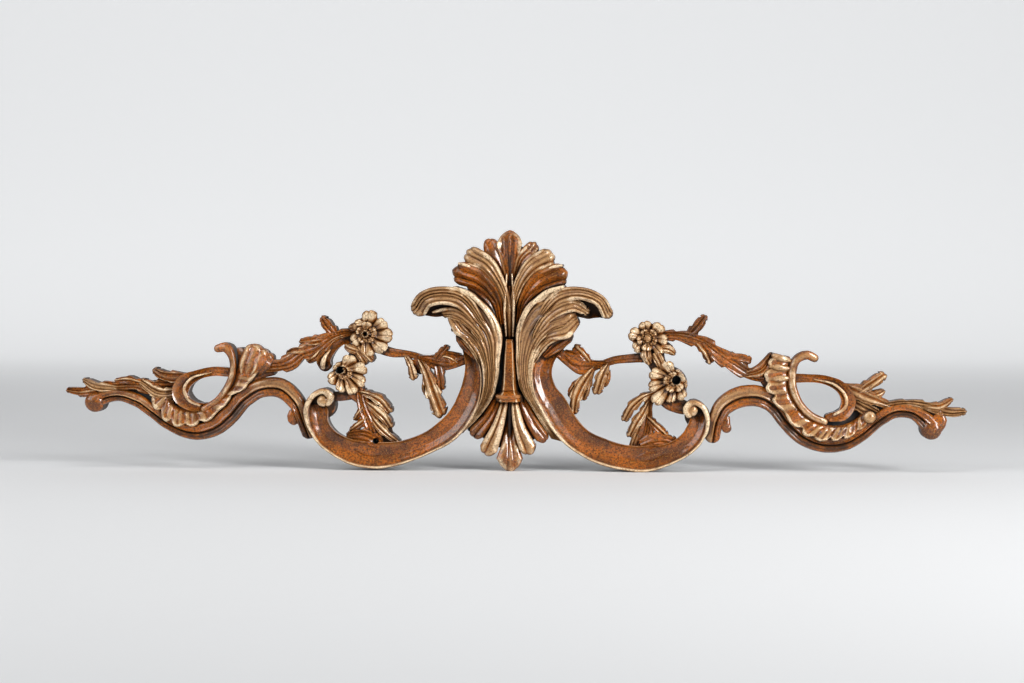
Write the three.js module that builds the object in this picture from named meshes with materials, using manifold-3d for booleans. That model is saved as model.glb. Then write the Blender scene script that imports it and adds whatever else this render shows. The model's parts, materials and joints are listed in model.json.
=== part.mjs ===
// A carved wooden headpiece: a keystone and two palmettes at the middle, an acanthus leaf on each side
// of them, and two wings of C-scrolls, flower twigs, shells, loops and S-scrolls that end in leaf sprays.
//
// Millimetres, +Z up, front towards -Y. The flat back lies on y = 0, and the origin is on it, behind the
// keystone. All of it is one piece of wood.
import * as THREE from 'three';
import { mergeVertices } from 'three/addons/utils/BufferGeometryUtils.js';
import Module from 'manifold-3d';

// Driving sizes.
const LENGTH = 1200;
const DEPTH = 66;

// The pattern is drawn on a net of squares. A place on it is [x, z], counted from the origin, and a
// half-width is in squares too. A height above the wall is in hundredths of the depth.
const SQUARE = LENGTH / 900;
const HUNDREDTH = DEPTH / 100;

// How far each stroke runs behind the wall plane before the back is planed flat.
const ALLOWANCE = 3;
// How much narrower a stroke's back is than its front, on each side.
const UNDERCUT = 0.22;
// A blunt end is a quarter circle: the angles of its rings, and how far its height sinks with it.
const BLUNT_ANGLES = [54].map(THREE.MathUtils.degToRad);
const BLUNT_SINK = 0.22;
// The shortest edge that a chisel leaves.
const SHORTEST_EDGE = 1.8;

const wasm = await Module();
wasm.setup();

// Cross-sections, as [place across from -1 to 1, rise]. The highest rise is 0 and the lowest is -1.
const KEEL = [[-1, -1], [0, 0], [1, -1]];
const ROLL = [[-1, -1], [-0.5, 0], [0.5, 0], [1, -1]];
const HOLLOW = [[-1, 0], [0, -1], [1, 0]];
const COVE = [[-1, -0.2], [-0.86, 0], [-0.66, -0.1], [-0.6, -0.6], [0, -1], [0.75, -0.35], [1, 0]];
const DOUBLE_BAND = [[-1, -0.6], [-0.5, 0], [0, -0.25], [0.1, -1], [0.3, -0.3], [1, -0.8]];
const RUFFLE = [[-1, -0.9], [-0.5, -1], [0.6, 0], [1, -0.3]];
const FACET = [[-1, -1], [-0.62, 0], [0.62, 0], [1, -1]];

// Ridges side by side with valleys between them, as on a fluted leaf.
function ribs(count) {
  const section = [];
  for (let i = 0; i <= 2 * count; i += 1) {
    section.push([i / count - 1, i % 2 ? 0 : -1]);
  }
  return section;
}

const mirrored = (section) => section.map(([across, rise]) => [-across, rise]).reverse();

// A smooth line through places on the pattern, one stretch for each gap between them.
function line(places) {
  const points = places.map(([x, z]) => new THREE.Vector3(x * SQUARE, 0, z * SQUARE));
  const curve = new THREE.CatmullRomCurve3(points);
  return (share) => curve.getPoint(share);
}

// A size that changes smoothly along a stroke.
function sized(values) {
  const curve = new THREE.SplineCurve(values.map((value, i) => new THREE.Vector2(i, value)));
  return (share) => curve.getPoint(share).y;
}

// A closed solid becomes one that can be joined and cut.
function solidOf(geometry) {
  const plain = geometry.clone();
  plain.deleteAttribute('normal');
  plain.deleteAttribute('uv');
  const merged = mergeVertices(plain, 1e-4);
  return new wasm.Manifold(new wasm.Mesh({
    numProp: 3,
    vertProperties: new Float32Array(merged.attributes.position.array),
    triVerts: new Uint32Array(merged.index.array),
  }));
}

// Rings of points in order, each with the same count, become a closed skin with a flat face at both ends.
function loft(rings) {
  const size = rings[0].length;
  const faces = [];
  for (let i = 0; i + 1 < rings.length; i += 1) {
    for (let j = 0; j < size; j += 1) {
      const a = i * size + j;
      const b = i * size + (j + 1) % size;
      faces.push(a, a + size, b, b, a + size, b + size);
    }
  }
  const last = (rings.length - 1) * size;
  for (let j = 0; j + 2 < size; j += 1) {
    faces.push(size - 1, j, j + 1, last + size - 1, last + j + 1, last + j);
  }
  const geometry = new THREE.BufferGeometry().setFromPoints(rings.flat());
  geometry.setIndex(faces);
  return solidOf(geometry);
}

// The shares of the way along at which a stroke has a ring: one at each node, and those of its blunt ends.
function ringPlaces(stretches, root, tip) {
  const places = [];
  for (let i = root ? 1 : 0; i <= stretches - (tip ? 1 : 0); i += 1) {
    places.push({ share: i / stretches, swell: 1 });
  }
  for (const angle of BLUNT_ANGLES) {
    if (tip) {
      places.push({ share: 1 - (1 - Math.sin(angle)) / stretches, swell: Math.cos(angle) });
    }
    if (root) {
      places.unshift({ share: (1 - Math.sin(angle)) / stretches, swell: Math.cos(angle) });
    }
  }
  return places;
}

// One ring of a stroke: its carved front from the right edge to the left, then its plain back.
function ringOf(right, left, height, section, relief) {
  const ring = section.map(([across, rise]) => {
    const place = new THREE.Vector3().lerpVectors(right, left, (across + 1) / 2);
    place.y = -(height + rise * relief) * HUNDREDTH;
    return place;
  });
  for (const across of [1 - UNDERCUT, UNDERCUT - 1]) {
    const place = new THREE.Vector3().lerpVectors(right, left, (across + 1) / 2);
    place.y = ALLOWANCE;
    ring.push(place);
  }
  return ring;
}

// A gouge stroke along a line of nodes [x, z, half-width, height]. A blunt end is round about its node.
function stroke(nodes, section, relief, { root = false, tip = true } = {}) {
  const beyond = ([x, z, half, height], [nextX, nextZ]) => {
    const share = half / Math.hypot(x - nextX, z - nextZ);
    return [x + (x - nextX) * share, z + (z - nextZ) * share, half, height];
  };
  const whole = [...nodes];
  if (root) {
    whole.unshift(beyond(nodes[0], nodes[1]));
  }
  if (tip) {
    whole.push(beyond(nodes.at(-1), nodes.at(-2)));
  }
  const centre = line(whole);
  const halfAt = sized(whole.map((node) => node[2]));
  const heightAt = sized(whole.map((node) => node[3]));
  const places = ringPlaces(whole.length - 1, root, tip);
  return loft(places.map(({ share, swell }) => {
    const middle = centre(share);
    const ahead = centre(Math.min(1, share + 0.01)).sub(centre(Math.max(0, share - 0.01))).normalize();
    const side = new THREE.Vector3(-ahead.z, 0, ahead.x).multiplyScalar(halfAt(share) * swell * SQUARE);
    const height = heightAt(share) * (1 - BLUNT_SINK * (1 - swell));
    return ringOf(middle.clone().sub(side), middle.clone().add(side), height, section, relief * swell);
  }));
}

// A band between two edges with as many nodes each. The right edge is on the right of the way along.
function band(right, left, heights, section, relief) {
  const rightAt = line(right);
  const leftAt = line(left);
  const heightAt = sized(heights);
  return loft(right.map((place, i) => {
    const share = i / (right.length - 1);
    return ringOf(rightAt(share), leftAt(share), heightAt(share), section, relief);
  }));
}

// A round bead with a domed front, turned about its own axis and reaching the back.
function bead([x, z], radius, height, dome = 12) {
  const wide = radius * SQUARE;
  const top = height * HUNDREDTH;
  const profile = [
    new THREE.Vector2(0, -ALLOWANCE),
    new THREE.Vector2(wide * (1 - UNDERCUT), -ALLOWANCE),
    new THREE.Vector2(wide, top - dome * HUNDREDTH),
    new THREE.Vector2(wide * 0.6, top - dome * 0.2 * HUNDREDTH),
    new THREE.Vector2(0, top),
  ];
  const turned = new THREE.LatheGeometry(profile, 9);
  turned.rotateX(Math.PI);
  turned.translate(x * SQUARE, 0, z * SQUARE);
  return solidOf(turned);
}

// A drilled hole that goes in from the front. It leans to one side by an angle.
function drilled([x, z], radius, from, to, lean = 0) {
  const depth = (from - to) * HUNDREDTH;
  const drill = new THREE.CylinderGeometry(radius * SQUARE, radius * SQUARE, depth, 12);
  drill.rotateZ(lean);
  drill.translate(x * SQUARE, -(from + to) / 2 * HUNDREDTH, z * SQUARE);
  return solidOf(drill);
}

const joined = (solids) => solids.reduce((whole, solid) => whole.add(solid));

// The thin web behind the keystone that the middle leaves grow from.
function ground() {
  const right = [
    [8, -78], [26, -68], [38, -60], [33, -44], [24, -20], [24, 0], [32, 30], [32, 62], [43, 86],
    [38, 103], [20, 118], [7, 126],
  ];
  const left = [
    [-12, -78], [-30, -67], [-43, -60], [-36, -44], [-24, -20], [-24, 0], [-34, 30], [-34, 62],
    [-43, 86], [-36, 104], [-20, 118], [-7, 126],
  ];
  return band(right, left, [24, 26, 26, 26, 28, 30, 34, 36, 36, 34, 32, 30], KEEL, 2);
}

// The keystone: a wedge with flat facets that widens towards a hollow lip.
function keystone() {
  const rows = [
    { z: 31, half: 5, height: 66 },
    { z: 10, half: 6.2, height: 70 },
    { z: -12, half: 7.5, height: 75 },
    { z: -19, half: 8.5, height: 78 },
    { z: -25, half: 12, height: 84 },
    { z: -30, half: 13, height: 84 },
    { z: -32, half: 11, height: 60 },
  ];
  const rings = rows.map(({ z, half, height }) => ringOf(
    new THREE.Vector3(half * SQUARE, 0, z * SQUARE),
    new THREE.Vector3(-half * SQUARE, 0, z * SQUARE),
    height,
    FACET,
    22,
  ));
  return loft(rings.reverse());
}

// The leaves that fan out above and below the keystone.
function palmettes() {
  return [
    stroke([[0, 30, 3, 50], [0, 60, 4, 58], [0, 84, 2.5, 50]], KEEL, 8, { tip: false }),
    stroke([[0, 84, 2, 44], [0, 106, 7, 50], [0.5, 126, 12.5, 58]], HOLLOW, 8),
    stroke([[-2, 88, 2, 42], [-9, 110, 6, 52], [-17, 120, 8.5, 58], [-20, 124, 8, 54]], HOLLOW, 7),
    stroke([[4, 88, 2, 42], [12, 110, 6, 50], [20, 119, 8, 56], [22, 121, 7.5, 52]], HOLLOW, 7),
    stroke([[-1, 58, 2.5, 56], [-8, 84, 5, 60], [-22, 105, 8, 64], [-36, 113, 10, 62]], ribs(2), 7),
    stroke([[2, 58, 2.5, 56], [9, 84, 5, 60], [23, 104, 8, 64], [36, 111, 10, 62]], ribs(2), 7),
    stroke([[-8, 46, 3, 54], [-13, 70, 6, 60], [-29, 89, 10, 68], [-46, 96, 11.5, 66]], ribs(3), 8),
    stroke([[9, 46, 3, 54], [15, 70, 6, 60], [30, 87, 10.5, 68], [47, 94, 12, 66]], ribs(3), 8),
    stroke([[0, -50, 3, 36], [0, -72, 8, 50], [0, -88, 13, 56]], KEEL, 10),
    stroke([[-4, -28, 3, 52], [-12, -57, 6, 60], [-21, -78, 9, 58]], KEEL, 8),
    stroke([[4, -28, 3, 52], [10, -57, 6, 60], [18, -77, 8.5, 58]], KEEL, 8),
    stroke([[-10, -24, 3.5, 44], [-21, -47, 6, 50], [-33, -62, 8, 50]], KEEL, 7),
    stroke([[10, -24, 3.5, 44], [21, -49, 6, 50], [32, -66, 7, 50]], KEEL, 7),
  ];
}

// The acanthus leaves: a stalk that widens into a fluted leaf, whose tip curls over outwards.
function leftAcanthus() {
  const right = [
    [-47, -63], [-29, -45], [-16, -26], [-11, -8], [-9, 12], [-7, 37], [-16, 58], [-30, 72], [-42, 82],
    [-55, 86],
  ];
  const left = [
    [-52, -59], [-38, -46], [-29, -29], [-26, -8], [-30, 14], [-42, 30], [-53, 36], [-56, 41],
    [-59, 47], [-62, 52],
  ];
  return [
    band(right, left, [46, 56, 62, 66, 70, 76, 82, 84, 84, 80], ribs(4), 5),
    stroke([
      [-30, 46, 5, 80], [-47, 70, 7.5, 92], [-67, 74, 8, 98], [-83, 70, 9, 92], [-89, 62, 9, 76],
    ], ribs(2), 6),
    stroke([[-22, 20, 4, 74], [-38, 47, 6, 84], [-55, 57, 7, 84], [-62, 57, 5, 74]], ribs(2), 6),
    stroke([[-58, 66, 9, 66], [-72, 62, 9, 64], [-82, 60, 6, 60]], HOLLOW, 6),
    stroke([[-34, 24, 5, 70], [-46, 38, 5, 72], [-54, 41, 4, 62]], ribs(2), 5),
  ];
}

function rightAcanthus() {
  const right = [
    [56, -72], [36, -44], [26, -24], [23, -6], [26, 13], [38, 29], [50, 31], [60, 33], [67, 41],
    [76, 48],
  ];
  const left = [
    [41, -68], [20, -34], [10, -16], [7, 4], [7, 24], [8, 44], [19, 66], [34, 76], [49, 83], [62, 84],
  ];
  return [
    band(right, left, [46, 56, 62, 66, 70, 76, 82, 84, 84, 80], ribs(4), 5),
    stroke([
      [34, 46, 4, 80], [50, 71, 5.5, 92], [72, 75, 5, 98], [90, 68, 5.5, 94], [97, 56, 5.5, 78],
    ], KEEL, 6),
    stroke([[26, 30, 4, 76], [44, 58, 7, 88], [66, 65, 7, 88], [77, 58, 4, 74]], ribs(2), 6),
    stroke([[66, 64, 10, 62], [82, 62, 11, 56], [92, 58, 6, 54]], HOLLOW, 6),
    stroke([[38, 26, 5, 70], [50, 38, 5, 74], [55, 33, 4, 62]], ribs(2), 5),
  ];
}

// A C-scroll: a broad cove with a fillet along its outer edge, which rolls up round a bead.
function leftScroll() {
  const right = [
    [-51, 33], [-46, 17], [-44, 4], [-46, -9], [-51, -24], [-60, -41], [-72, -53], [-89, -64],
    [-111, -71], [-136, -72], [-158, -69], [-175, -61], [-182, -50], [-182, -42],
  ];
  const left = [
    [-46, 33], [-33, 17], [-28, 1], [-27, -16], [-31, -36], [-43, -57], [-58, -72], [-81, -84],
    [-106, -94], [-132, -99], [-156, -96], [-177, -86], [-195, -71], [-204, -50],
  ];
  const heights = [50, 56, 58, 58, 58, 58, 58, 58, 58, 58, 58, 58, 56, 54];
  return [
    band(right, left, heights, mirrored(COVE), 22),
    stroke([
      [-203, -56, 3, 56], [-204, -40, 2.5, 58], [-197, -26, 2.5, 60], [-186, -21, 3, 62],
      [-179, -27, 3.5, 62], [-182, -35, 3, 58],
    ], ROLL, 6),
    bead([-190, -35], 14.5, 40, 4),
    stroke([[-31, 20, 5, 50], [-29, 10, 5, 50], [-28, 0, 5, 50]], KEEL, 3, { tip: false }),
    bead([-187, -31], 7, 64),
  ];
}

function rightScroll() {
  const right = [
    [50, 33], [36, 27], [25, 12], [20, -5], [22, -20], [29, -37], [45, -63], [61, -78], [89, -93],
    [114, -99], [137, -100], [160, -93], [180, -82], [191, -71], [197, -52],
  ];
  const left = [
    [58, 26], [50, 17], [44, 8], [42, -3], [46, -16], [55, -27], [66, -46], [76, -58], [91, -66],
    [113, -73], [138, -74], [160, -70], [171, -62], [175, -56], [178, -50],
  ];
  const heights = [48, 50, 54, 58, 58, 58, 58, 58, 58, 58, 58, 58, 58, 56, 54];
  return [
    band(right, left, heights, COVE, 22),
    stroke([
      [195, -58, 3, 56], [196, -46, 2.5, 58], [191, -35, 2.5, 60], [181, -31, 3, 62],
      [175, -38, 3.5, 62], [179, -45, 3, 58],
    ], ROLL, 6),
    bead([186, -44], 13, 40, 4),
    bead([179, -39], 6.5, 64),
  ];
}

// A flower: cupped petals round a boss, as one shape of rings from the back round the rim to the middle.
function flower([x, z], radius, height, petals, firstAngle) {
  const perPetal = 4;
  const columns = petals * perPetal;
  const rims = [
    { reach: 0.8, notch: 0.2, top: null },
    { reach: 1, notch: 0.2, top: height - 16 },
    { reach: 0.8, notch: 0.1, top: height - 2 },
    { reach: 0.45, notch: 0, top: height - 9 },
    { reach: 0.25, notch: 0, top: height - 4 },
  ];
  const rings = rims.map(({ reach, notch, top }) => {
    const ring = [];
    for (let i = 0; i < columns; i += 1) {
      const angle = firstAngle - i / columns * 2 * Math.PI;
      const between = i % perPetal === 0 ? 1 : 0;
      const distance = radius * SQUARE * (reach - notch * between);
      const lift = top === null ? ALLOWANCE : (between * 8 - top) * HUNDREDTH;
      const place = new THREE.Vector3(Math.cos(angle), 0, Math.sin(angle)).multiplyScalar(distance);
      ring.push(place.add(new THREE.Vector3(x * SQUARE, lift, z * SQUARE)));
    }
    return ring;
  });
  return loft(rings);
}

function leftFlowers() {
  return [
    stroke([[-138, 30, 9, 46], [-150, 16, 10, 46], [-157, 4, 9, 46]], ROLL, 6, { tip: false }),
    stroke([[-158, -10, 9, 44], [-154, -22, 9, 44], [-150, -28, 7, 44]], ROLL, 6),
    stroke([[-184, -27, 5, 32], [-172, -27, 5, 32], [-158, -24, 6, 32]], ROLL, 3, { tip: false }),
    flower([-137, 36], 22, 66, 7, 0.35),
    flower([-162, -7], 20, 64, 7, 0.1),
    bead([-166, -1], 7, 70),
  ];
}

function rightFlowers() {
  return [
    stroke([[141, 22, 12, 46], [146, 8, 9, 46], [154, -6, 9, 46]], ROLL, 6, { tip: false }),
    stroke([
      [154, -18, 9, 44], [158, -28, 10, 42], [166, -34, 8, 42], [178, -38, 6, 42],
    ], ROLL, 6, { tip: false }),
    flower([138.5, 30], 20.5, 66, 7, 0.5),
    flower([157.5, -14], 22, 64, 7, 0.5),
    bead([164, -9], 7.5, 70),
  ];
}

// The twigs that run from the C-scrolls up to the flowers, with their hanging leaves.
function leftTwig() {
  return [
    stroke([
      [-44, 11, 5, 40], [-58, 7, 6, 42], [-72, 4, 5, 38], [-86, 10, 4, 34], [-100, 15, 3.2, 32],
      [-118, 17, 4.5, 38], [-134, 22, 5, 42],
    ], ROLL, 6, { tip: false }),
    stroke([
      [-50, 11, 6, 42], [-64, 11, 8, 48], [-78, 11, 4, 40], [-92, 13, 2, 34],
    ], ribs(2), 6, { tip: false }),
    stroke([[-74, 10, 5, 44], [-68, 18, 5, 50], [-64, 22, 3.5, 48]], KEEL, 5),
    stroke([[-88, 8, 5, 34], [-80, -6, 8, 44], [-75, -24, 9.5, 50], [-70, -40, 8.5, 48]], ribs(2), 6),
    stroke([[-82, -4, 3, 38], [-86, -16, 3.5, 40], [-85, -24, 2.5, 34]], KEEL, 4),
    stroke([[-72, 4, 6, 40], [-70, -6, 5.5, 42], [-69, -17, 4, 42]], KEEL, 4),
    stroke([[-105, 14, 3, 32], [-99, 3, 4.5, 40], [-96, -7, 5, 38]], ribs(2), 4),
    stroke([[-94, 9, 5, 32], [-91, -1, 5, 28], [-90, -6, 4, 24]], KEEL, 3),
  ];
}

function rightTwig() {
  return [
    stroke([
      [48, 18, 5, 42], [60, 9, 6, 44], [72, 1, 5.5, 42], [88, 5, 4, 36], [104, 10, 4, 34],
      [122, 12, 4.5, 38], [140, 13, 5, 42],
    ], ROLL, 6, { tip: false }),
    stroke([
      [54, 18, 3, 42], [66, 12, 7, 48], [80, 7, 4, 42], [96, 8, 2, 34],
    ], ribs(2), 6, { tip: false }),
    stroke([[79, 8, 4, 42], [73, 15, 6, 48], [67, 21, 5.5, 50]], HOLLOW, 5),
    stroke([[94, 5, 5, 34], [90, -7, 7.5, 44], [86, -20, 5.5, 44]], ribs(2), 5),
    stroke([[97, 0, 3, 34], [96, -8, 4, 42], [94, -14, 3.5, 36]], KEEL, 4),
    stroke([[82, 2, 5, 38], [73, -11, 8, 46], [65, -27, 6.5, 50], [64, -40, 5, 48]], ribs(2), 6),
    stroke([[80, -6, 3.5, 38], [76, -18, 5.5, 44], [73, -27, 4, 40]], ribs(2), 4),
    stroke([[70, -9, 3.5, 38], [62, -18, 4, 42], [60, -24, 3, 38]], KEEL, 4),
  ];
}

// The upright leaves that stand in the C-scrolls under the flowers.
function leftUpright() {
  return [
    stroke([
      [-133, -80, 8, 50], [-138, -56, 8, 50], [-146, -36, 7, 48], [-150, -20, 5, 44],
    ], ribs(2), 6, { tip: false }),
    stroke([[-148, -28, 3, 44], [-134, -31, 6, 54], [-123, -37, 5, 50]], ribs(2), 5),
    stroke([[-142, -36, 3, 44], [-130, -46, 6, 54], [-123, -53, 4.5, 50]], ribs(2), 5),
    stroke([[-136, -54, 4, 44], [-127, -62, 5.5, 50], [-118, -70, 3.5, 44]], ribs(2), 5),
    stroke([[-142, -48, 4, 46], [-152, -56, 5, 50], [-158, -60, 3.5, 46]], ribs(2), 5),
    stroke([[-146, -40, 4, 46], [-152, -47, 3.5, 46], [-154, -48, 3, 42]], KEEL, 4),
    stroke([[-134, -76, 9, 52], [-148, -68, 8, 56], [-160, -66, 5, 50]], HOLLOW, 6),
  ];
}

function rightUpright() {
  return [
    stroke([
      [126, -80, 9, 50], [135, -62, 8, 50], [137, -46, 5, 48], [138, -32, 4.5, 46], [146, -22, 5, 44],
    ], ribs(2), 6, { tip: false }),
    stroke([[138, -27, 3, 44], [127, -33, 6, 54], [116, -46, 5, 50]], ribs(2), 5),
    stroke([[132, -38, 5, 46], [127, -52, 6.5, 54], [121, -62, 4.5, 50]], ribs(2), 5),
    stroke([[128, -58, 5, 46], [124, -70, 4, 42], [121, -78, 3, 40]], KEEL, 5),
    stroke([[138, -52, 5, 46], [147, -58, 6, 52], [154, -62, 4, 48]], ribs(2), 5),
    stroke([[134, -76, 9, 50], [149, -71, 8, 52], [162, -70, 5, 48]], HOLLOW, 6),
  ];
}

// The upper twigs: a branch that leaves the flowers and carries leaves out to the shell.
function leftBranch() {
  return [
    stroke([
      [-148, 37, 4, 48], [-164, 37, 4.5, 48], [-180, 32, 7, 48], [-196, 21, 12, 48], [-208, 17, 9, 46],
      [-220, 8, 9.5, 44], [-233, 4, 8, 42], [-250, 4, 8, 40],
    ], ribs(2), 6, { tip: false }),
    stroke([[-178, 36, 7, 46], [-183, 44, 7, 50], [-187, 50, 4.5, 48]], ribs(2), 5),
    stroke([[-188, 30, 6, 46], [-200, 29, 5.5, 50], [-209, 28, 3.5, 46]], ribs(2), 5),
    stroke([[-206, 18, 5, 44], [-216, 18, 4.5, 46], [-223, 17, 2.5, 42]], KEEL, 4),
    stroke([
      [-150, 32, 5, 40], [-166, 30, 4.5, 42], [-178, 22, 5, 44], [-186, 10, 7, 52], [-186, 5, 7, 46],
    ], ROLL, 8),
  ];
}

function rightBranch() {
  return [
    stroke([
      [144, 34, 5, 48], [160, 35, 6, 48], [176, 33, 7.5, 50], [192, 27, 8.5, 50], [207, 16, 9, 48],
      [222, 6, 9, 46], [236, -2, 7.5, 42], [252, -5, 6.5, 42],
    ], ribs(2), 6, { tip: false }),
    stroke([[178, 36, 6, 48], [186, 44, 7, 52], [192, 52, 4.5, 50]], ribs(2), 5),
    stroke([[190, 26, 6, 48], [197, 16, 6, 54], [198, 11, 5, 48]], ribs(2), 5),
    stroke([[214, 15, 4, 46], [226, 13, 4.5, 48], [235, 11, 4.5, 46]], ribs(2), 4),
    stroke([[238, 0, 6, 44], [250, 4, 6, 48], [258, 14, 4, 46]], ribs(2), 4),
    stroke([[154, 22, 5, 44], [158, 27, 5, 40]], KEEL, 4, { tip: false, root: true }),
  ];
}

// The shells: a ruffle that follows the loop from above it round to its foot. Its outer edge is scalloped.
function shell(inner, outer, heights, scallops, outerIsLeft) {
  const innerAt = line(inner);
  const outerAt = line(outer);
  const heightAt = sized(heights);
  const perScallop = 2;
  const rings = [];
  for (let i = 0; i <= scallops * perScallop; i += 1) {
    const share = i / (scallops * perScallop);
    const notch = i % perScallop ? 0 : 1;
    const edge = outerAt(share).lerp(innerAt(share), 0.16 * notch);
    const height = heightAt(share) - 5 * notch;
    rings.push(outerIsLeft
      ? ringOf(innerAt(share), edge, height, RUFFLE, 10)
      : ringOf(edge, innerAt(share), height, mirrored(RUFFLE), 10));
  }
  return loft(rings);
}

function leftShell() {
  const inner = [
    [-274, 22], [-274, 4], [-278, -14], [-290, -28], [-302, -36], [-312, -40], [-326, -41],
    [-338, -36], [-344, -26], [-345, -18],
  ];
  const outer = [
    [-243, 18], [-250, 2], [-262, -16], [-279, -28], [-291, -42], [-305, -53], [-325, -58],
    [-342, -56], [-356, -44], [-364, -28],
  ];
  return [
    shell(inner, outer, [50, 50, 48, 48, 46, 44, 42, 40, 40, 38], 9, true),
    stroke([[-262, 2, 10, 54], [-258, 11, 12, 56], [-257, 16, 11, 50]], ribs(2), 6),
    stroke([[-256, 2, 7, 44], [-248, 10, 7, 48], [-246, 13, 7, 44]], KEEL, 6),
    stroke([[-238, 2, 8, 36], [-252, 0, 10, 36], [-266, -12, 8, 36]], ROLL, 4, { tip: false }),
    stroke([
      [-258, -14, 9, 30], [-274, -32, 9, 30], [-296, -48, 11, 30], [-322, -50, 12, 30],
      [-344, -38, 14, 30], [-354, -24, 12, 30], [-374, -22, 8, 28], [-394, -21, 5, 26],
    ], KEEL, 2),
  ];
}

function rightShell() {
  const inner = [
    [277, 14], [276, 0], [277, -18], [285, -34], [297, -46], [312, -53], [328, -53], [342, -47],
    [350, -36],
  ];
  const outer = [
    [259, 17], [252, -4], [257, -19], [268, -34], [281, -49], [293, -62], [312, -68], [334, -66],
    [356, -50],
  ];
  return [
    shell(inner, outer, [50, 50, 48, 48, 46, 44, 42, 40, 38], 10, false),
    stroke([[268, 0, 9, 52], [268, 8, 9, 54], [268, 9, 9, 50]], ribs(2), 6),
    stroke([[250, 2, 8, 36], [258, -8, 10, 36], [268, -24, 8, 36]], ROLL, 4, { tip: false }),
    stroke([
      [264, -14, 9, 30], [275, -34, 9, 30], [294, -51, 11, 30], [316, -58, 11, 30], [338, -52, 14, 30],
      [354, -40, 14, 30], [372, -38, 6, 28],
    ], KEEL, 2),
  ];
}

// The loops: a thin hooked band, and an arm that leaves it and winds back to its foot.
function leftLoop() {
  return [
    stroke([
      [-294, 21, 4, 50], [-285, 22, 5, 54], [-279, 13, 3.5, 56], [-278, -2, 3, 56], [-283, -16, 3, 56],
      [-294, -31, 3, 54], [-308, -40, 3.5, 50],
    ], ROLL, 6, { root: true }),
    stroke([
      [-280, -3, 4.5, 46], [-298, -2, 4.5, 46], [-315, -6, 5, 46], [-328, -14, 8, 48],
      [-331, -26, 8, 50], [-320, -37, 5, 48], [-306, -37, 3, 46],
    ], HOLLOW, 6),
    stroke([[-326, -7, 4, 44], [-341, -8, 7, 44], [-353, -5, 5, 46], [-358, -2, 4, 42]], KEEL, 6),
  ];
}

function rightLoop() {
  return [
    stroke([
      [301, 13, 4.2, 50], [293, 16, 4.5, 54], [283, 11, 4, 56], [279, -2, 4, 56], [280, -17, 4, 56],
      [286, -31, 3.5, 56], [297, -43, 3.5, 54], [311, -50, 3.5, 50],
    ], ROLL, 6, { root: true }),
    stroke([
      [280, -7, 4.5, 46], [296, -7, 4, 46], [313, -9, 4.5, 46], [328, -17, 6, 48], [334, -30, 7, 50],
      [329, -42, 6, 50], [315, -46, 4, 46],
    ], HOLLOW, 6),
    stroke([[330, -14, 4, 42], [344, -21, 9, 44], [360, -28, 7, 42], [376, -34, 4, 38]], ribs(2), 5),
    stroke([[345, -19, 5, 42], [356, -12, 6.5, 46], [366, -6, 5.5, 44]], ribs(2), 5),
    stroke([[356, -24, 5, 40], [364, -22, 4, 42], [367, -20, 3, 38]], KEEL, 4),
  ];
}

// The S-scrolls: a double band that climbs from the C-scroll, dips under the shell and ends in a curl.
function leftSweep() {
  const nodes = [
    [-203, -63, 7, 42], [-208, -50, 7, 44], [-215, -33, 8.5, 46], [-231, -19, 10, 46], [-250, -19, 9.5, 46],
    [-268, -29, 9.5, 42], [-284, -47, 9.5, 42], [-302, -60, 9, 42], [-322, -63, 8, 42], [-344, -55, 7, 42],
    [-361, -43, 6.5, 42], [-377, -32, 6.5, 42], [-397, -27, 6, 42], [-416, -31, 7, 46], [-421, -34, 8, 44],
  ];
  return [
    stroke(nodes, DOUBLE_BAND, 9, { root: true }),
    stroke([[-218, -42, 4, 38], [-220, -48, 4.5, 40], [-218, -52, 4.5, 38]], ROLL, 5),
    bead([-420.5, -34], 10, 46),
  ];
}

function rightSweep() {
  const nodes = [
    [201, -64, 8, 42], [204, -50, 8, 44], [212, -35, 9.5, 46], [228, -26, 10.5, 46], [246, -25, 10.5, 46],
    [262, -33, 10, 42], [275, -49, 9.5, 42], [289, -63, 9.5, 42], [309, -72, 8.5, 42], [329, -71, 8, 42],
    [347, -62, 7.5, 42], [364, -48, 7, 42], [382, -39, 7, 42], [399, -41, 7, 44],
    [411, -50, 9, 46], [415, -55, 10, 44],
  ];
  return [
    stroke(nodes, mirrored(DOUBLE_BAND), 9, { root: true }),
    stroke([[213, -46, 5, 38], [214, -56, 5, 40], [215, -57, 5, 38]], ROLL, 5),
    bead([415.5, -57], 10.5, 46),
  ];
}

// The sprays: a run of leaves above the end of the S-scroll, with a raised tip and a long one.
function leftSpray() {
  return [
    stroke([
      [-338, -19, 9, 36], [-362, -19, 9, 40], [-378, -16, 6.5, 40], [-396, -17, 5.5, 38],
      [-414, -19, 6.5, 38], [-431, -23, 6, 34], [-449, -22, 3, 28],
    ], ribs(2), 5),
    stroke([[-374, -14, 4, 38], [-388, -10, 4.5, 42], [-397, -12, 2.5, 36]], KEEL, 4),
    stroke([[-410, -19, 5, 38], [-424, -15, 5, 42], [-431, -12, 3, 36]], ribs(2), 4),
    stroke([[-420, -22, 6, 36], [-428, -25, 5, 36], [-434, -26, 4, 30]], KEEL, 4),
    stroke([[-348, -30, 8, 38], [-354, -36, 8, 38], [-356, -40, 7, 34]], ribs(2), 5),
  ];
}

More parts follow.
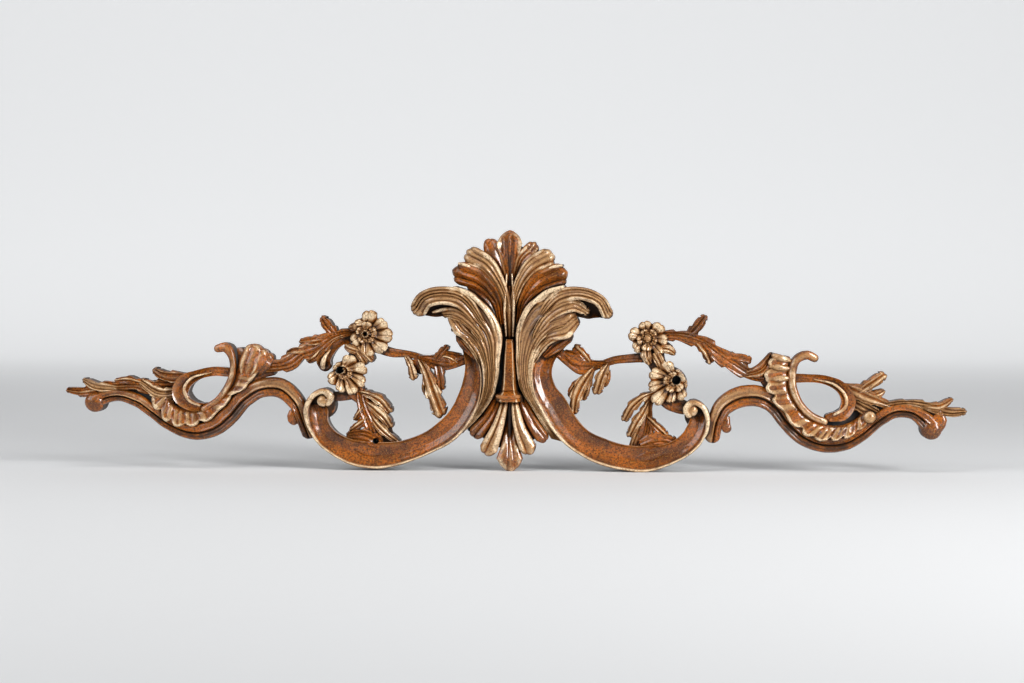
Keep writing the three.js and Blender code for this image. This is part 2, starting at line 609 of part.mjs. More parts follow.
function rightSpray() {
  return [
    stroke([
      [370, -34, 5, 40], [388, -31, 4, 40], [402, -32, 5, 38], [418, -36, 6, 38], [434, -40, 6, 36],
      [447, -40, 4, 30],
    ], ribs(2), 5),
    stroke([[420, -35, 5, 38], [430, -31, 4.5, 40], [435, -28, 2.5, 36]], KEEL, 4),
    stroke([[420, -42, 7, 38], [425, -49, 6, 40], [421, -56, 6, 40]], ROLL, 5),
    stroke([[340, -33, 10, 38], [355, -41, 9, 38], [364, -43, 5, 36]], ribs(2), 5),
    stroke([[402, -42, 5, 32], [414, -43, 5, 32], [424, -44, 5, 32]], KEEL, 3, { tip: false }),
  ];
}

// All strokes are joined, holes are drilled, and the back is planed flat.
function headpiece() {
  const carved = joined([
    ground(),
    keystone(),
    ...palmettes(),
    ...leftAcanthus(),
    ...rightAcanthus(),
    ...leftScroll(),
    ...rightScroll(),
    ...leftTwig(),
    ...rightTwig(),
    ...leftUpright(),
    ...rightUpright(),
    ...leftFlowers(),
    ...rightFlowers(),
    ...leftBranch(),
    ...rightBranch(),
    ...leftSweep(),
    ...rightSweep(),
    ...leftShell(),
    ...rightShell(),
    ...leftLoop(),
    ...rightLoop(),
    ...leftSpray(),
    ...rightSpray(),
  ]);
  const holes = joined([
    drilled([-168, -1], 4.2, 90, 34, -0.3),
    drilled([164, -9], 4.6, 90, 34, 0.25),
    drilled([-134, -71], 3, 70, 24),
  ]);
  const behind = new THREE.BoxGeometry(2 * LENGTH, 2 * ALLOWANCE + 2, 2 * LENGTH);
  behind.translate(0, ALLOWANCE + 1, 0);
  return carved.subtract(holes).subtract(solidOf(behind));
}

// The finished solid as a mesh that can be drawn, with the slivers left where strokes cross closed up:
// the two ends of an edge shorter than the limit become one vertex, shortest edge first, wherever the
// skin stays closed and no face turns over.
function meshOf(solid, limit) {
  const { vertProperties, triVerts } = solid.getMesh();
  const places = [];
  for (let i = 0; i < vertProperties.length; i += 3) {
    places.push(new THREE.Vector3().fromArray(vertProperties, i));
  }
  const faces = [];
  const facesAt = places.map(() => new Set());
  for (let i = 0; i < triVerts.length; i += 3) {
    const face = [...triVerts.slice(i, i + 3)];
    faces.push(face);
    face.forEach((corner) => facesAt[corner].add(face));
  }
  const normalOf = (corners) => new THREE.Triangle(...corners).getNormal(new THREE.Vector3());
  const neighboursOf = (corner) => new Set([...facesAt[corner]].flat());
  const closesUp = (kept, lost, place) => {
    const shared = [...neighboursOf(kept)].filter((corner) => neighboursOf(lost).has(corner));
    return shared.length === 4 && [...facesAt[kept], ...facesAt[lost]].every((face) => {
      if (face.includes(kept) && face.includes(lost)) {
        return true;
      }
      const before = normalOf(face.map((corner) => places[corner]));
      const moved = face.map((corner) => (corner === kept || corner === lost ? place : places[corner]));
      return before.dot(normalOf(moved)) > 0.5;
    });
  };
  const lengthOf = ([a, b]) => places[a].distanceTo(places[b]);
  for (let pass = 0; pass < 3; pass += 1) {
    const edges = faces
      .filter((face) => facesAt[face[0]].has(face))
      .flatMap(([a, b, c]) => [[a, b], [b, c], [c, a]])
      .filter(([a, b]) => a < b && lengthOf([a, b]) < limit)
      .sort((one, other) => lengthOf(one) - lengthOf(other));
    for (const edge of edges) {
      const [kept, lost] = edge;
      const together = [...facesAt[kept]].filter((face) => face.includes(lost));
      const place = places[kept].clone().lerp(places[lost], 0.5);
      if (places[kept].y === 0 || places[lost].y === 0) {
        place.copy(places[places[kept].y === 0 ? kept : lost]);
      }
      if (together.length === 2 && lengthOf(edge) < limit && closesUp(kept, lost, place)) {
        together.forEach((face) => face.forEach((corner) => facesAt[corner].delete(face)));
        for (const face of facesAt[lost]) {
          face[face.indexOf(lost)] = kept;
          facesAt[kept].add(face);
        }
        facesAt[lost].clear();
        places[kept].copy(place);
      }
    }
  }
  // The outer skin is what can be reached from a tip: a pocket sealed between strokes is solid wood.
  const live = faces.filter((face) => facesAt[face[0]].has(face));
  const tip = live.flat().reduce((best, corner) => (places[corner].x < places[best].x ? corner : best));
  const skin = new Set([tip]);
  const toVisit = [tip];
  while (toVisit.length > 0) {
    for (const corner of neighboursOf(toVisit.pop())) {
      if (!skin.has(corner)) {
        skin.add(corner);
        toVisit.push(corner);
      }
    }
  }
  const geometry = new THREE.BufferGeometry().setFromPoints(places);
  geometry.setIndex(live.filter((face) => skin.has(face[0])).flat());
  geometry.computeVertexNormals();
  return geometry;
}

const giltWood = new THREE.MeshStandardMaterial({ color: 0xa9773f, roughness: 0.5, metalness: 0.0 });
const piece = new THREE.Mesh(meshOf(headpiece(), SHORTEST_EDGE), giltWood);
piece.name = 'headpiece';

const group = new THREE.Group();
group.add(piece);

export default group;
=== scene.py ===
# %% [markdown]
# # A carved, lacquered and gilded headpiece
#
# The real piece is one long board of wood, pierced and carved in relief: a keystone between two
# palmettes, an acanthus leaf on each side of it, and two wings of scrolls, flower twigs and shells.
# The CAD solid gives its outline, its depth and its main strokes. Here the same strokes are cut again
# with fine, rounded gouge profiles, joined into one mesh, and finished as old gilding and lacquer.

import json
import math

import bmesh
import bpy
import numpy as np
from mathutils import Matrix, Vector, noise

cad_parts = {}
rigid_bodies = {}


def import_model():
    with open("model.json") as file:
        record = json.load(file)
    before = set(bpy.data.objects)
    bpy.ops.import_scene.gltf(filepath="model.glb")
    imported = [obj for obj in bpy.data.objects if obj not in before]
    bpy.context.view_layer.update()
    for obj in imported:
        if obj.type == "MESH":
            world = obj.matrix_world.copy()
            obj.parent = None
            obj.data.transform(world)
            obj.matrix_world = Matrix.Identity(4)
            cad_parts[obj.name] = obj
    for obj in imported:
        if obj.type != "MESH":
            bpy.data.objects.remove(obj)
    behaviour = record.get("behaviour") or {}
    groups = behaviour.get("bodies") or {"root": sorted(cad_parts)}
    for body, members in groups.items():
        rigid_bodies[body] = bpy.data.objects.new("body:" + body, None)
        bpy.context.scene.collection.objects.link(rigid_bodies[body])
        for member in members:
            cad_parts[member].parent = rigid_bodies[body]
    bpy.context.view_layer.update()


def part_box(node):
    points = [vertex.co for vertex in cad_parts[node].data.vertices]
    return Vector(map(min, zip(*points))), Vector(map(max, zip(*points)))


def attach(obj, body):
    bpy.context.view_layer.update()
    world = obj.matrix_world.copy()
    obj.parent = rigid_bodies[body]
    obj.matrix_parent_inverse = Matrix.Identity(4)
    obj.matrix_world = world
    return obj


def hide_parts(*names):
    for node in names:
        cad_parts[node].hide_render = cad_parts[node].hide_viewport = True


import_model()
low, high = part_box("headpiece")
print("carved solid", [round(h - l, 3) for l, h in zip(low, high)])

# %% [markdown]
# The carver's pattern is drawn on a net of squares, the same one as in the CAD source. A place is
# [x, z] in squares from the origin behind the keystone, and a height above the wall is in hundredths
# of the depth. Both units are measured here from the solid itself, so a resized solid still fits.
#
# The rest are the carver's habits: how far a wall leans in towards the back, where its shoulder is, how
# far a blunt end sinks, how deep its scallops and the teeth of a leaf are cut, and how far apart the
# cross-sections of a stroke stand. Every back is flat and lies an allowance behind the wall plane.

# %% The pattern's units
WIDTH_IN_SQUARES = 901.9
HIGHEST_CURL = 98
SQUARE = (high[0] - low[0]) / WIDTH_IN_SQUARES
HUNDREDTH = -low[1] / HIGHEST_CURL
ALLOWANCE = 0.003
BEHIND = -ALLOWANCE / HUNDREDTH
UNDERCUT = 0.22
SHOULDER = 0.8
BLUNT_SINK = 0.22
SCALLOP = 0.32
TOOTH = 0.36
STEP = 0.0034
# Walls get a gilding below 0: bare dark wood, which also stands in for painted shade on the walls and
# undersides.
WALL_GILDING = -0.3
print("one square is", round(SQUARE * 1000, 3), "mm")

# %% [markdown]
# The camera stands where the photographer's did: nearly square to the front, a little to the right
# and a little above. It is made early, so that every later step can be judged from it.

# %% The camera
VIEW_TARGET = Vector((0.0027, -0.025, 0.038))
VIEW_DISTANCE = 3.0
VIEW_TURN = math.radians(4)
VIEW_RISE = math.radians(2)
VIEW_LENS = 79.5
camera_data = bpy.data.cameras.new("camera")
camera_data.lens = VIEW_LENS
camera = bpy.data.objects.new("camera", camera_data)
bpy.context.scene.collection.objects.link(camera)
camera.location = VIEW_TARGET + VIEW_DISTANCE * Vector((
    math.sin(VIEW_TURN) * math.cos(VIEW_RISE),
    -math.cos(VIEW_TURN) * math.cos(VIEW_RISE),
    math.sin(VIEW_RISE),
))
camera.rotation_euler = (VIEW_TARGET - camera.location).to_track_quat("-Z", "Y").to_euler()
bpy.context.scene.camera = camera
print("camera at", [round(v, 2) for v in camera.location])

# %% [markdown]
# A gouge leaves a constant profile as it travels, so the main form of this object follows a rule: a
# cross-section swept along a line. Each row of a profile is (place across, rise, gilding). Across runs
# from -1 to 1, the rise from -1 in the valley to 0 on the ridge, and the gilding from 0 to 1.

# %% Gouge profiles
def rounded(points, per_stretch=3):
    """A profile that runs smoothly through a few points and stays between their extremes."""
    rows = np.array(points, float)
    curve = curve_through(rows, rows[:, :1], per_stretch * (len(rows) - 1) + 1)[0]
    return np.clip(curve, rows.min(axis=0), rows.max(axis=0))


def curve_through(rows, places, count):
    """A smooth curve through rows of numbers, spaced by the places, and each row's share of the way."""
    gaps = np.sqrt(np.maximum(np.linalg.norm(np.diff(places, axis=0), axis=1), 1e-9))[:, None]
    before = np.vstack([2 * rows[:1] - rows[1:2], rows[:-1]])[:-1]
    after = np.vstack([rows[1:], 2 * rows[-1:] - rows[-2:-1]])[1:]
    gap_before = np.vstack([gaps[:1], gaps[:-1]])
    gap_after = np.vstack([gaps[1:], gaps[-1:]])
    slope = (rows[1:] - rows[:-1]) / gaps
    leave = (rows[:-1] - before) / gap_before - (rows[1:] - before) / (gap_before + gaps) + slope
    arrive = slope - (after - rows[:-1]) / (gaps + gap_after) + (after - rows[1:]) / gap_after
    leave, arrive = leave * gaps, arrive * gaps
    share = np.linspace(0, 1, count) if np.isscalar(count) else np.asarray(count)
    stretch = np.minimum((share * (len(rows) - 1)).astype(int), len(rows) - 2)
    t = (share * (len(rows) - 1) - stretch)[:, None]
    start, end = rows[stretch], rows[stretch + 1]
    curve = (
        (2 * t**3 - 3 * t**2 + 1) * start + (t**3 - 2 * t**2 + t) * leave[stretch]
        + (3 * t**2 - 2 * t**3) * end + (t**3 - t**2) * arrive[stretch]
    )
    return curve, share


def profile_of(rise_at, count):
    """A profile from a formula for its rise. It is gilt on its ridge and bare in its valley."""
    across = np.linspace(-1, 1, count)
    rise = rise_at(across)
    return np.column_stack([across, rise, rise + 1])


def flutes(count, seed=3):
    """Ridges with sharp valleys between them, no two alike, each with a faint groove on both flanks."""
    chance = np.random.default_rng(seed)
    widths = chance.uniform(0.55, 1.45, count)
    edges = np.concatenate([[0], np.cumsum(widths)]) / widths.sum() * 2 - 1
    crests = chance.uniform(-0.3, 0, count)
    valleys = np.concatenate([[-1], chance.uniform(-1, -0.55, count - 1), [-1]])
    t = np.linspace(0, 1, 9)[:-1]
    body = np.sin(np.pi * t) ** 0.7 * (1 - 0.2 * np.sin(2 * np.pi * t) ** 2)
    across = [edge + (after - edge) * t for edge, after in zip(edges, edges[1:])]
    floors = [valley + (after - valley) * t for valley, after in zip(valleys, valleys[1:])]
    rise = [floor + (crest - floor) * body for floor, crest in zip(floors, crests)]
    across, rise = np.append(np.concatenate(across), 1), np.append(np.concatenate(rise), -1)
    return np.column_stack([across, rise, rise + 1])


KEEL = profile_of(lambda a: -np.abs(a) ** 1.25, 9)
ROLL = profile_of(lambda a: np.sqrt(np.maximum(1 - 0.96 * a**2, 0)) - 1, 11)
HOLLOW = profile_of(lambda a: 0.97 * (a**2 - 1), 11)
COVE = rounded([
    (-1, -0.34, 0.9), (-0.95, -0.08, 1), (-0.87, 0, 1), (-0.8, -0.1, 0.9), (-0.74, -0.46, 0.1),
    (-0.7, -0.56, 0), (-0.6, -0.57, 0), (-0.4, -0.71, 0), (-0.2, -0.86, 0), (-0.04, -0.96, 0),
    (0.12, -0.93, 0), (0.4, -0.78, 0), (0.65, -0.62, 0), (0.82, -0.5, 0), (0.92, -0.3, 0.05),
    (0.97, -0.14, 0.3), (1, -0.22, 0.2),
], 2)
DOUBLE_BAND = rounded([
    (-1, -0.8, 0.2), (-0.84, -0.25, 0.5), (-0.55, 0, 0.7), (-0.25, -0.16, 0.8), (-0.08, 0, 1),
    (0.02, -0.22, 0.5), (0.1, -0.8, -0.4), (0.17, -0.8, -0.4), (0.26, -0.38, 0.05), (0.45, -0.2, 0.05),
    (0.6, -0.32, 0), (0.72, -0.2, 0.1), (0.86, -0.3, 0.3), (1, -0.9, 0.1),
], 2)
LEAF = rounded([
    (-1, -1, 0.1), (-0.82, -0.5, 0.5), (-0.64, -0.66, 0.2), (-0.44, -0.12, 0.9), (-0.26, 0, 1),
    (-0.1, -0.2, 0.8), (0.08, -0.76, 0), (0.26, -0.5, 0.3), (0.42, -0.34, 0.6), (0.6, -0.64, 0.1),
    (0.78, -0.6, 0.35), (1, -1, 0),
], 2)
print("profiles have", len(COVE), "and", len(DOUBLE_BAND), "points")

# %% [markdown]
# A sweep is lofted: rings of points, one behind the other, become a closed skin. The gilding is kept on
# face corners, so that it stays sharp where two strokes cross after they are joined. Each stroke is
# its own closed solid and joins a collection that the union reads later.

# %% Lofting
strokes = bpy.data.collections.new("strokes")
cutters = bpy.data.collections.new("cutters")


def mirrored(profile):
    """The profile with its left and right exchanged."""
    return profile[::-1] * (-1, 1, 1)


def solid(rings, gilding, collection=strokes):
    """Rings x points x 3 numbers become one closed mesh with a flat face at both ends."""
    rings = np.asarray(rings)
    count, size = rings.shape[:2]
    here = np.arange(size)
    there = (here + 1) % size
    start = np.arange(count - 1)[:, None] * size
    around = [start + here, start + size + here, start + size + there, start + there]
    quads = np.stack(around, -1).reshape(-1, 4)
    fan = np.column_stack([np.full(size - 2, size - 1), here[:-2], here[1:-1]])
    last = (count - 1) * size
    faces = quads.tolist() + fan.tolist() + (last + fan[:, ::-1]).tolist()
    mesh = bpy.data.meshes.new("stroke")
    mesh.from_pydata(rings.reshape(-1, 3).tolist(), [], faces)
    corners = np.empty(len(mesh.loops), np.int32)
    mesh.loops.foreach_get("vertex_index", corners)
    values = np.asarray(gilding, np.float32).reshape(-1)[corners]
    mesh.attributes.new("gilding", "FLOAT", "CORNER").data.foreach_set("value", values)
    collection.objects.link(bpy.data.objects.new("stroke", mesh))


def ring_of(middle, side, ahead, across, onward, front, gilt):
    """A carved front from edge to edge, then the walls and the plain back.

    Side and ahead are vectors half a width long, and across and onward are counted in them.
    """
    back = across[[-1, 0]] * (1 - UNDERCUT)
    across = np.concatenate([across, across[-1:], back, across[:1]])
    onward = np.append(onward, np.zeros(4))
    heights = np.concatenate([front, front[-1:] * SHOULDER, [BEHIND, BEHIND], front[:1] * SHOULDER])
    plan = middle + across[:, None] * side + onward[:, None] * ahead
    points = np.column_stack([plan[:, 0] * SQUARE, -heights * HUNDREDTH, plan[:, 1] * SQUARE])
    return points, np.concatenate([gilt, gilt[-1:], [WALL_GILDING, WALL_GILDING], gilt[:1]])


def between(right, left, height, profile, relief, finish):
    """A ring whose front reaches from one edge point to the other."""
    gilt = finish[0] + (finish[1] - finish[0]) * profile[:, 2]
    front = height + profile[:, 1] * relief
    middle, side = (right + left) / 2, (left - right) / 2
    return ring_of(middle, side, np.zeros(2), profile[:, 0], 0 * front, front, gilt)


END_STEPS = (0.3, 0.55, 0.76, 0.91, 1)
POINTED = 1.35


def end_rings(middle, side, ahead, height, profile, relief, gilt, point, scallop):
    """Rings that close a blunt end: the flutes fan out to a scalloped edge, and the edge turns under."""
    across, rise = profile[:, 0], profile[:, 1]
    fan = (1 - point) * np.sin(np.pi / 2 * across) + point * across
    edge = (1 - point) * np.cos(np.pi / 2 * across) + point * POINTED * (1 - np.abs(across))
    edge = np.maximum(edge + scallop * rise * edge, 0.02)
    rings = []
    for p in END_STEPS:
        top = height * (1 - BLUNT_SINK * (1 - math.sqrt(1 - 0.999 * p * p)))
        front = top + rise * relief * (1 - 0.4 * p)
        rings.append(ring_of(middle, side, ahead, (1 - p) * across + p * fan, p * edge, front, gilt))
    for shrink, level in ((0.93, 0.4 * front), (1 - UNDERCUT, 0 * front + BEHIND / 2)):
        bare_and_shaded = 0 * gilt + WALL_GILDING
        rings.append(ring_of(middle, side, ahead, shrink * fan, shrink * edge, level, bare_and_shaded))
    return rings


def shades_along(portion, finish):
    """The gilding in the valleys and on the ridges at each portion of the way."""
    pairs = np.array(finish, float).reshape(-1, 2)
    marks = np.linspace(0, 1, len(pairs))
    return np.column_stack([np.interp(portion, marks, column) for column in pairs.T])


def stroke(nodes, profile, relief, finish, root=False, tip=True, teeth=0, point=0.0, scallop=SCALLOP):
    """A gouge stroke along nodes [x, z, half-width, height], with teeth cut into its edges.

    The finish is the gilding in the valleys and on the ridges, or a list of such pairs along the way.
    """
    rows = np.array(nodes, float)
    fine = curve_through(rows, rows[:, :2], 40 * len(rows))[0]
    length = np.concatenate([[0], np.cumsum(np.linalg.norm(np.diff(fine[:, :2], axis=0), axis=1))])
    stops = np.linspace(0, length[-1], max(4, math.ceil(length[-1] * SQUARE / STEP)))
    run = np.gradient(fine[:, :2], axis=0)
    made = np.column_stack([np.interp(stops, length, column) for column in np.hstack([fine, run]).T])
    portion = stops / length[-1]
    shades = shades_along(portion, finish)
    notch = TOOTH * (1 - np.mod(portion * teeth, 1)) ** 1.5 if teeth else 0 * portion
    across, rise, gilding = profile.T
    rings, ends = [], []
    for (x, z, half, height, run_x, run_z), cut, (dull, bright) in zip(made, notch, shades):
        ahead = np.array([run_x, run_z]) / math.hypot(run_x, run_z) * half
        side = np.array([-ahead[1], ahead[0]])
        gilt = dull + (bright - dull) * gilding
        middle = np.array([x, z])
        width = across * (1 - cut * np.abs(across) ** 3)
        rings.append(ring_of(middle, side, ahead, width, 0 * across, height + rise * relief, gilt))
        ends.append((middle, side, ahead, height, profile, relief, gilt, point, scallop))
    if tip:
        rings = rings + end_rings(*ends[-1])
    if root:
        middle, side, ahead = ends[0][:3]
        rings = end_rings(middle, side, -ahead, *ends[0][3:])[::-1] + rings
    solid([ring for ring, gilt in rings], [gilt for ring, gilt in rings])


def even_curve(values, count):
    """A smooth curve through values that lie evenly apart."""
    return curve_through(np.array(values, float)[:, None], np.arange(len(values))[:, None], count)[0][:, 0]


def band(right, left, heights, profile, relief, finish):
    """A band between two edges with as many nodes each."""
    right, left = np.array(right, float), np.array(left, float)
    middle = (right + left) / 2
    whole = np.linalg.norm(np.diff(middle, axis=0), axis=1).sum() * SQUARE
    count = math.ceil(whole / STEP)
    edges = [curve_through(edge, edge, count)[0] for edge in (right, left)]
    shades = shades_along(np.linspace(0, 1, count), finish)
    made = [
        between(near, far, top, profile, relief, pair)
        for near, far, top, pair in zip(*edges, even_curve(heights, count), shades)
    ]
    solid([ring for ring, gilt in made], [gilt for ring, gilt in made])


print("step along a stroke", STEP * 1000, "mm")

# %% [markdown]
# Round things are the same loft taken round an axis: a bead is a dome, and a flower is a dome whose
# radius and height wave once for each petal. Shells are ruffles, whose outer edge is scalloped.
#
# The finishes come last. Each one is a pair: the gilding in the valleys of a profile and on its ridges.
# About 1 is whole gold, about 0 lacquer, below that bare dark wood that also stands in for painted shade,
# and near -1 a blue-black patina.

# %% Round solids and ruffles
def turned(place, radius, rims, columns, first_angle=0.0, finish=(0.2, 1), shift=(0, 0)):
    """Rims from the back round the edge to the middle. The middle may be shifted off centre."""
    angle = first_angle - np.arange(columns) / columns * 2 * np.pi
    rings, gilding = [], []
    for rim in rims:
        reach, height, gilt = rim(angle - first_angle)
        aside = 1 - np.clip(np.max(reach), 0, 1)
        ring = np.empty((columns, 3))
        ring[:, 0] = (place[0] + shift[0] * aside + radius * reach * np.cos(angle)) * SQUARE
        ring[:, 1] = -height * HUNDREDTH
        ring[:, 2] = (place[1] + shift[1] * aside + radius * reach * np.sin(angle)) * SQUARE
        rings.append(ring)
        gilding.append(finish[0] + (finish[1] - finish[0]) * gilt + 0 * angle)
    solid(rings, gilding)


def bead(place, radius, height, dome=12, finish=(0.1, 0.9)):
    """A dome on a round stem."""
    rims = [lambda a: (1, BEHIND + 0 * a, 0), lambda a: (1, height - dome - 4 + 0 * a, 0.2)]
    for tilt in np.radians([15, 32, 48, 62, 75, 86]):
        rims.append(lambda a, t=tilt: (math.cos(t), height - dome * (1 - math.sin(t)) + 0 * a, math.sin(t)))
    turned(place, radius, rims, 28, finish=finish)


PETAL_RIMS = (1, 0.96, 0.9, 0.8, 0.68, 0.56, 0.46, 0.38, 0.32, 0.26, 0.21, 0.16, 0.1, 0.04)
# The wall under the petals is dark: bare wood and patina, with painted shade there as well.
FLOWER_BACK = -0.4


def flower(place, radius, height, petals, first_angle, tilt=(0, 0), shift=(0, 0)):
    """Cupped petals round a ring-shaped heart.

    The tilt leans the flower to the side and up, and the shift moves its heart off centre.
    """
    sizes = np.random.default_rng(petals * 7 + abs(int(place[0]))).uniform(0.9, 1.06, petals)

    def rim_at(reach):
        def rim(angle):
            turn = -petals * angle / (2 * np.pi)
            size = sizes[np.floor(turn).astype(int) % petals]
            petal = np.abs(np.sin(np.pi * turn))
            side = np.cos(np.pi * turn)
            notch = 0.2 * (1 - petal**0.6) * reach**2 + 0.06 * np.exp(-((side / 0.2) ** 2)) * reach**4
            lean = (tilt[0] * np.cos(angle + first_angle) + tilt[1] * np.sin(angle + first_angle)) * reach
            lift = 9 * reach**1.5 - 130 * max(0.0, reach - 0.84) ** 1.5 + 40 * (size - 1) * reach
            valley = 11 * (1 - petal) ** 1.6 * min(1.0, reach * 1.6)
            cup = 3.5 * petal**6 * math.sin(math.pi * min(1.0, reach * 1.05))
            vein = 1.5 * np.cos(5 * petals * angle) * reach * petal
            heart = 10 * math.exp(-(((reach - 0.26) / 0.09) ** 2)) - 14 * math.exp(-((reach / 0.16) ** 2))
            rise = lift - valley - cup + heart + vein + lean
            gilt = 0.1 + 0.9 * np.clip(1.5 * petal * (0.3 + reach), 0, 1) * min(1.0, reach / 0.18)
            return (1 - notch) * size ** (reach * 2) * reach, height - 10 + rise, gilt
        return rim

    rims = [
        lambda a: (0.64, BEHIND + 0 * a, FLOWER_BACK),
        lambda a: (0.76, height - 30 + 0 * a, FLOWER_BACK),
    ]
    rims += [rim_at(reach) for reach in PETAL_RIMS]
    turned(place, radius, rims, petals * 14, first_angle, (0.1, 1), shift)


def shell(inner, outer, heights, scallops, outer_is_left, finish=(0.05, 1)):
    """A ruffle between two lines, ribbed across, whose outer edge is scalloped and lifted, never evenly."""
    count = scallops * 9 + 1
    inner, outer = np.array(inner, float), np.array(outer, float)
    inner_edge, share = curve_through(inner, inner, count)
    outer_edge = curve_through(outer, outer, count)[0]
    tops = even_curve(heights, count)
    across = np.linspace(-1, 1, 13)
    out = (across + 1) / 2
    dish = -1 + 0.8 * np.sin(np.pi / 2 * np.clip(out * 2.2, 0, 1)) + 0.5 * np.clip(out - 0.45, 0, 1)
    dish -= 0.3 * np.clip(out - 0.92, 0, 1) / 0.08
    rings, gilding = [], []
    for near, far, top, s in zip(inner_edge, outer_edge, tops, share):
        turn = s * scallops + 0.3 * math.sin(2.6 * math.pi * s) * math.sin(math.pi * s)
        swell = abs(math.sin(math.pi * turn))
        size = 0.24 + 0.12 * math.sin(9 * turn)
        edge = far + (near - far) * size * (1 - swell**0.7)
        rib = abs(math.sin(2 * math.pi * turn))
        gilt = np.clip((0.62 + 0.33 * math.sin(7 * turn)) * rib * (out > 0.1) + 0.9 * (out > 0.86), 0, 1)
        between_lobes = 0.42 * (1 - swell**0.8) * (0.1 + out)
        between_ribs = 0.3 * (1 - rib**0.7) * np.sin(np.pi * np.clip(out, 0, 0.92))
        profile = np.column_stack([across, dish - (between_lobes + between_ribs), gilt])
        right, left = (near, edge) if outer_is_left else (edge, near)
        ring, gilt = between(right, left, top, profile if outer_is_left else mirrored(profile), 11, finish)
        rings.append(ring)
        gilding.append(gilt)
    solid(rings, gilding)


# A valley value below 0 makes the valleys and edges of a stroke bare dark wood, painted shade there as
# well.
GILT = (0.28, 1.0)
WORN = (-0.16, 0.64)
RUBBED = (-0.2, 0.46)
MOTTLED = (0.3, 0.5)
LACQUER = (-0.2, 0.22)
SMOOTH = (0.02, 0.25)
SHADED_UNDERSIDE = (-0.3, -0.16)
# Painted shade: the hollow under an acanthus roll is coloured dark, as if in its shadow.
PLAIN = (0.05, 1.0)
DARK = (-0.9, -0.4)

# %% [markdown]
# The middle of the piece comes first. A thin web behind the keystone carries the leaves. The keystone
# itself is the one straight-edged form, a wedge with flat facets that ends in a hollow lip.

# %% Ground and keystone
band(
    [[8, -78], [26, -68], [38, -60], [33, -44], [24, -20], [24, 0], [32, 30], [32, 62], [43, 86],
     [38, 103], [20, 118], [7, 126]],
    [[-12, -78], [-30, -67], [-43, -60], [-36, -44], [-24, -20], [-24, 0], [-34, 30], [-34, 62],
     [-43, 86], [-36, 104], [-20, 118], [-7, 126]],
    [24, 26, 26, 26, 28, 30, 34, 36, 36, 34, 32, 30], KEEL, 2, DARK,
)
FACET = np.array([
    (-1, -1, -0.5), (-0.66, -0.06, 0.2), (-0.58, 0, 0.9), (-0.52, 0, 0), (-0.38, 0, 0), (-0.13, 0, 0),
    (0.13, 0, 0), (0.38, 0, 0), (0.5, 0, 0), (0.56, 0, 0.5), (0.64, -0.1, 0.9), (0.72, -0.16, -0.4),
    (1, -1, -0.5),
])
# Each row is a level, half the width there and the height of the facets above the wall.
KEYSTONE_ROWS = np.array([
    [-32, 11, 60], [-31, 12.6, 76], [-30, 13, 84], [-25, 12.4, 84], [-22.5, 10, 82], [-20.5, 8.6, 74],
    [-19, 8.5, 78], [-12, 7.5, 75], [10, 6.2, 70], [29.5, 5, 66], [31, 4.6, 60],
])
levels = np.union1d(KEYSTONE_ROWS[:, 0], np.arange(-16, 28, 4))
halves, heights = (np.interp(levels, KEYSTONE_ROWS[:, 0], column) for column in KEYSTONE_ROWS.T[1:])
made = [
    between(np.array([half, z]), np.array([-half, z]), height, FACET, 22, PLAIN)
    for z, half, height in zip(levels, halves, heights)
]
solid([ring for ring, gilt in made], [gilt for ring, gilt in made])
stroke([[-11, -25, 1.8, 88], [0, -26.5, 2, 89], [10, -25, 1.8, 86]], ROLL, 4, LACQUER, root=True)

# %% [markdown]
# Palmettes are fans of lobes. Every lobe starts as a narrow stem and swells towards a round tip. On the
# real piece the lobes take turns: gilt ones with close ridges, and lacquered ones with hollow flutes.

# %% Palmettes
stroke([[0, 30, 3, 50], [0, 60, 4, 58], [0, 84, 2.5, 50]], KEEL, 8, GILT, tip=False)
stroke([[-3.5, 34, 0.9, 54], [-4.5, 62, 1.2, 62], [-2.5, 96, 0.7, 52]], ROLL, 3, GILT, tip=False)
stroke([[3.5, 34, 0.9, 54], [4.5, 62, 1.2, 62], [2.5, 96, 0.7, 52]], ROLL, 3, GILT, tip=False)
stroke([[0, 84, 2, 46], [0, 106, 7.4, 52], [0, 126, 12.5, 58]], HOLLOW, 9, MOTTLED, point=0.25, scallop=0)
stroke([[-4, 98, 0.8, 40], [-5, 112, 1.2, 52], [-6, 124, 1.2, 56], [-6, 131, 1, 54]], ROLL, 2, LACQUER)
stroke([[0, 92, 0.8, 40], [0, 112, 1.6, 47], [0, 126, 1.6, 52], [0, 133, 1.2, 50]],
       ROLL, 2, [DARK, DARK, LACQUER, RUBBED])
stroke([[4, 98, 0.8, 40], [5, 112, 1.2, 52], [6, 124, 1.2, 56], [6, 131, 1, 54]], ROLL, 2, LACQUER)
stroke([[-2, 88, 2, 44], [-9, 110, 6.2, 54], [-17, 120, 8.5, 58], [-19, 124, 8, 54]],
       flutes(2, 8), 8, LACQUER, point=0.2)
stroke([[4, 88, 2, 44], [12, 110, 6.2, 54], [20, 118, 8, 58], [22, 121, 7.5, 52]],
       flutes(3, 9), 6, WORN, point=0.2)
stroke([[-1, 58, 2.5, 58], [-8, 84, 5.2, 62], [-22, 105, 8.4, 66], [-36, 113, 10, 62]],
       flutes(4, 4), 7, GILT)
stroke([[2, 58, 2.5, 58], [9, 84, 5.2, 62], [23, 104, 8.4, 66], [36, 111, 10, 62]], flutes(4, 5), 7, GILT)
stroke([[-8, 46, 3, 56], [-13, 70, 6, 62], [-29, 89, 10, 70], [-46, 96, 12, 66]],
       flutes(3, 6), 11, LACQUER)
stroke([[-30, 96, 0.8, 56], [-42, 104, 1.6, 66], [-50, 106, 1.5, 66]], ROLL, 4, GILT)
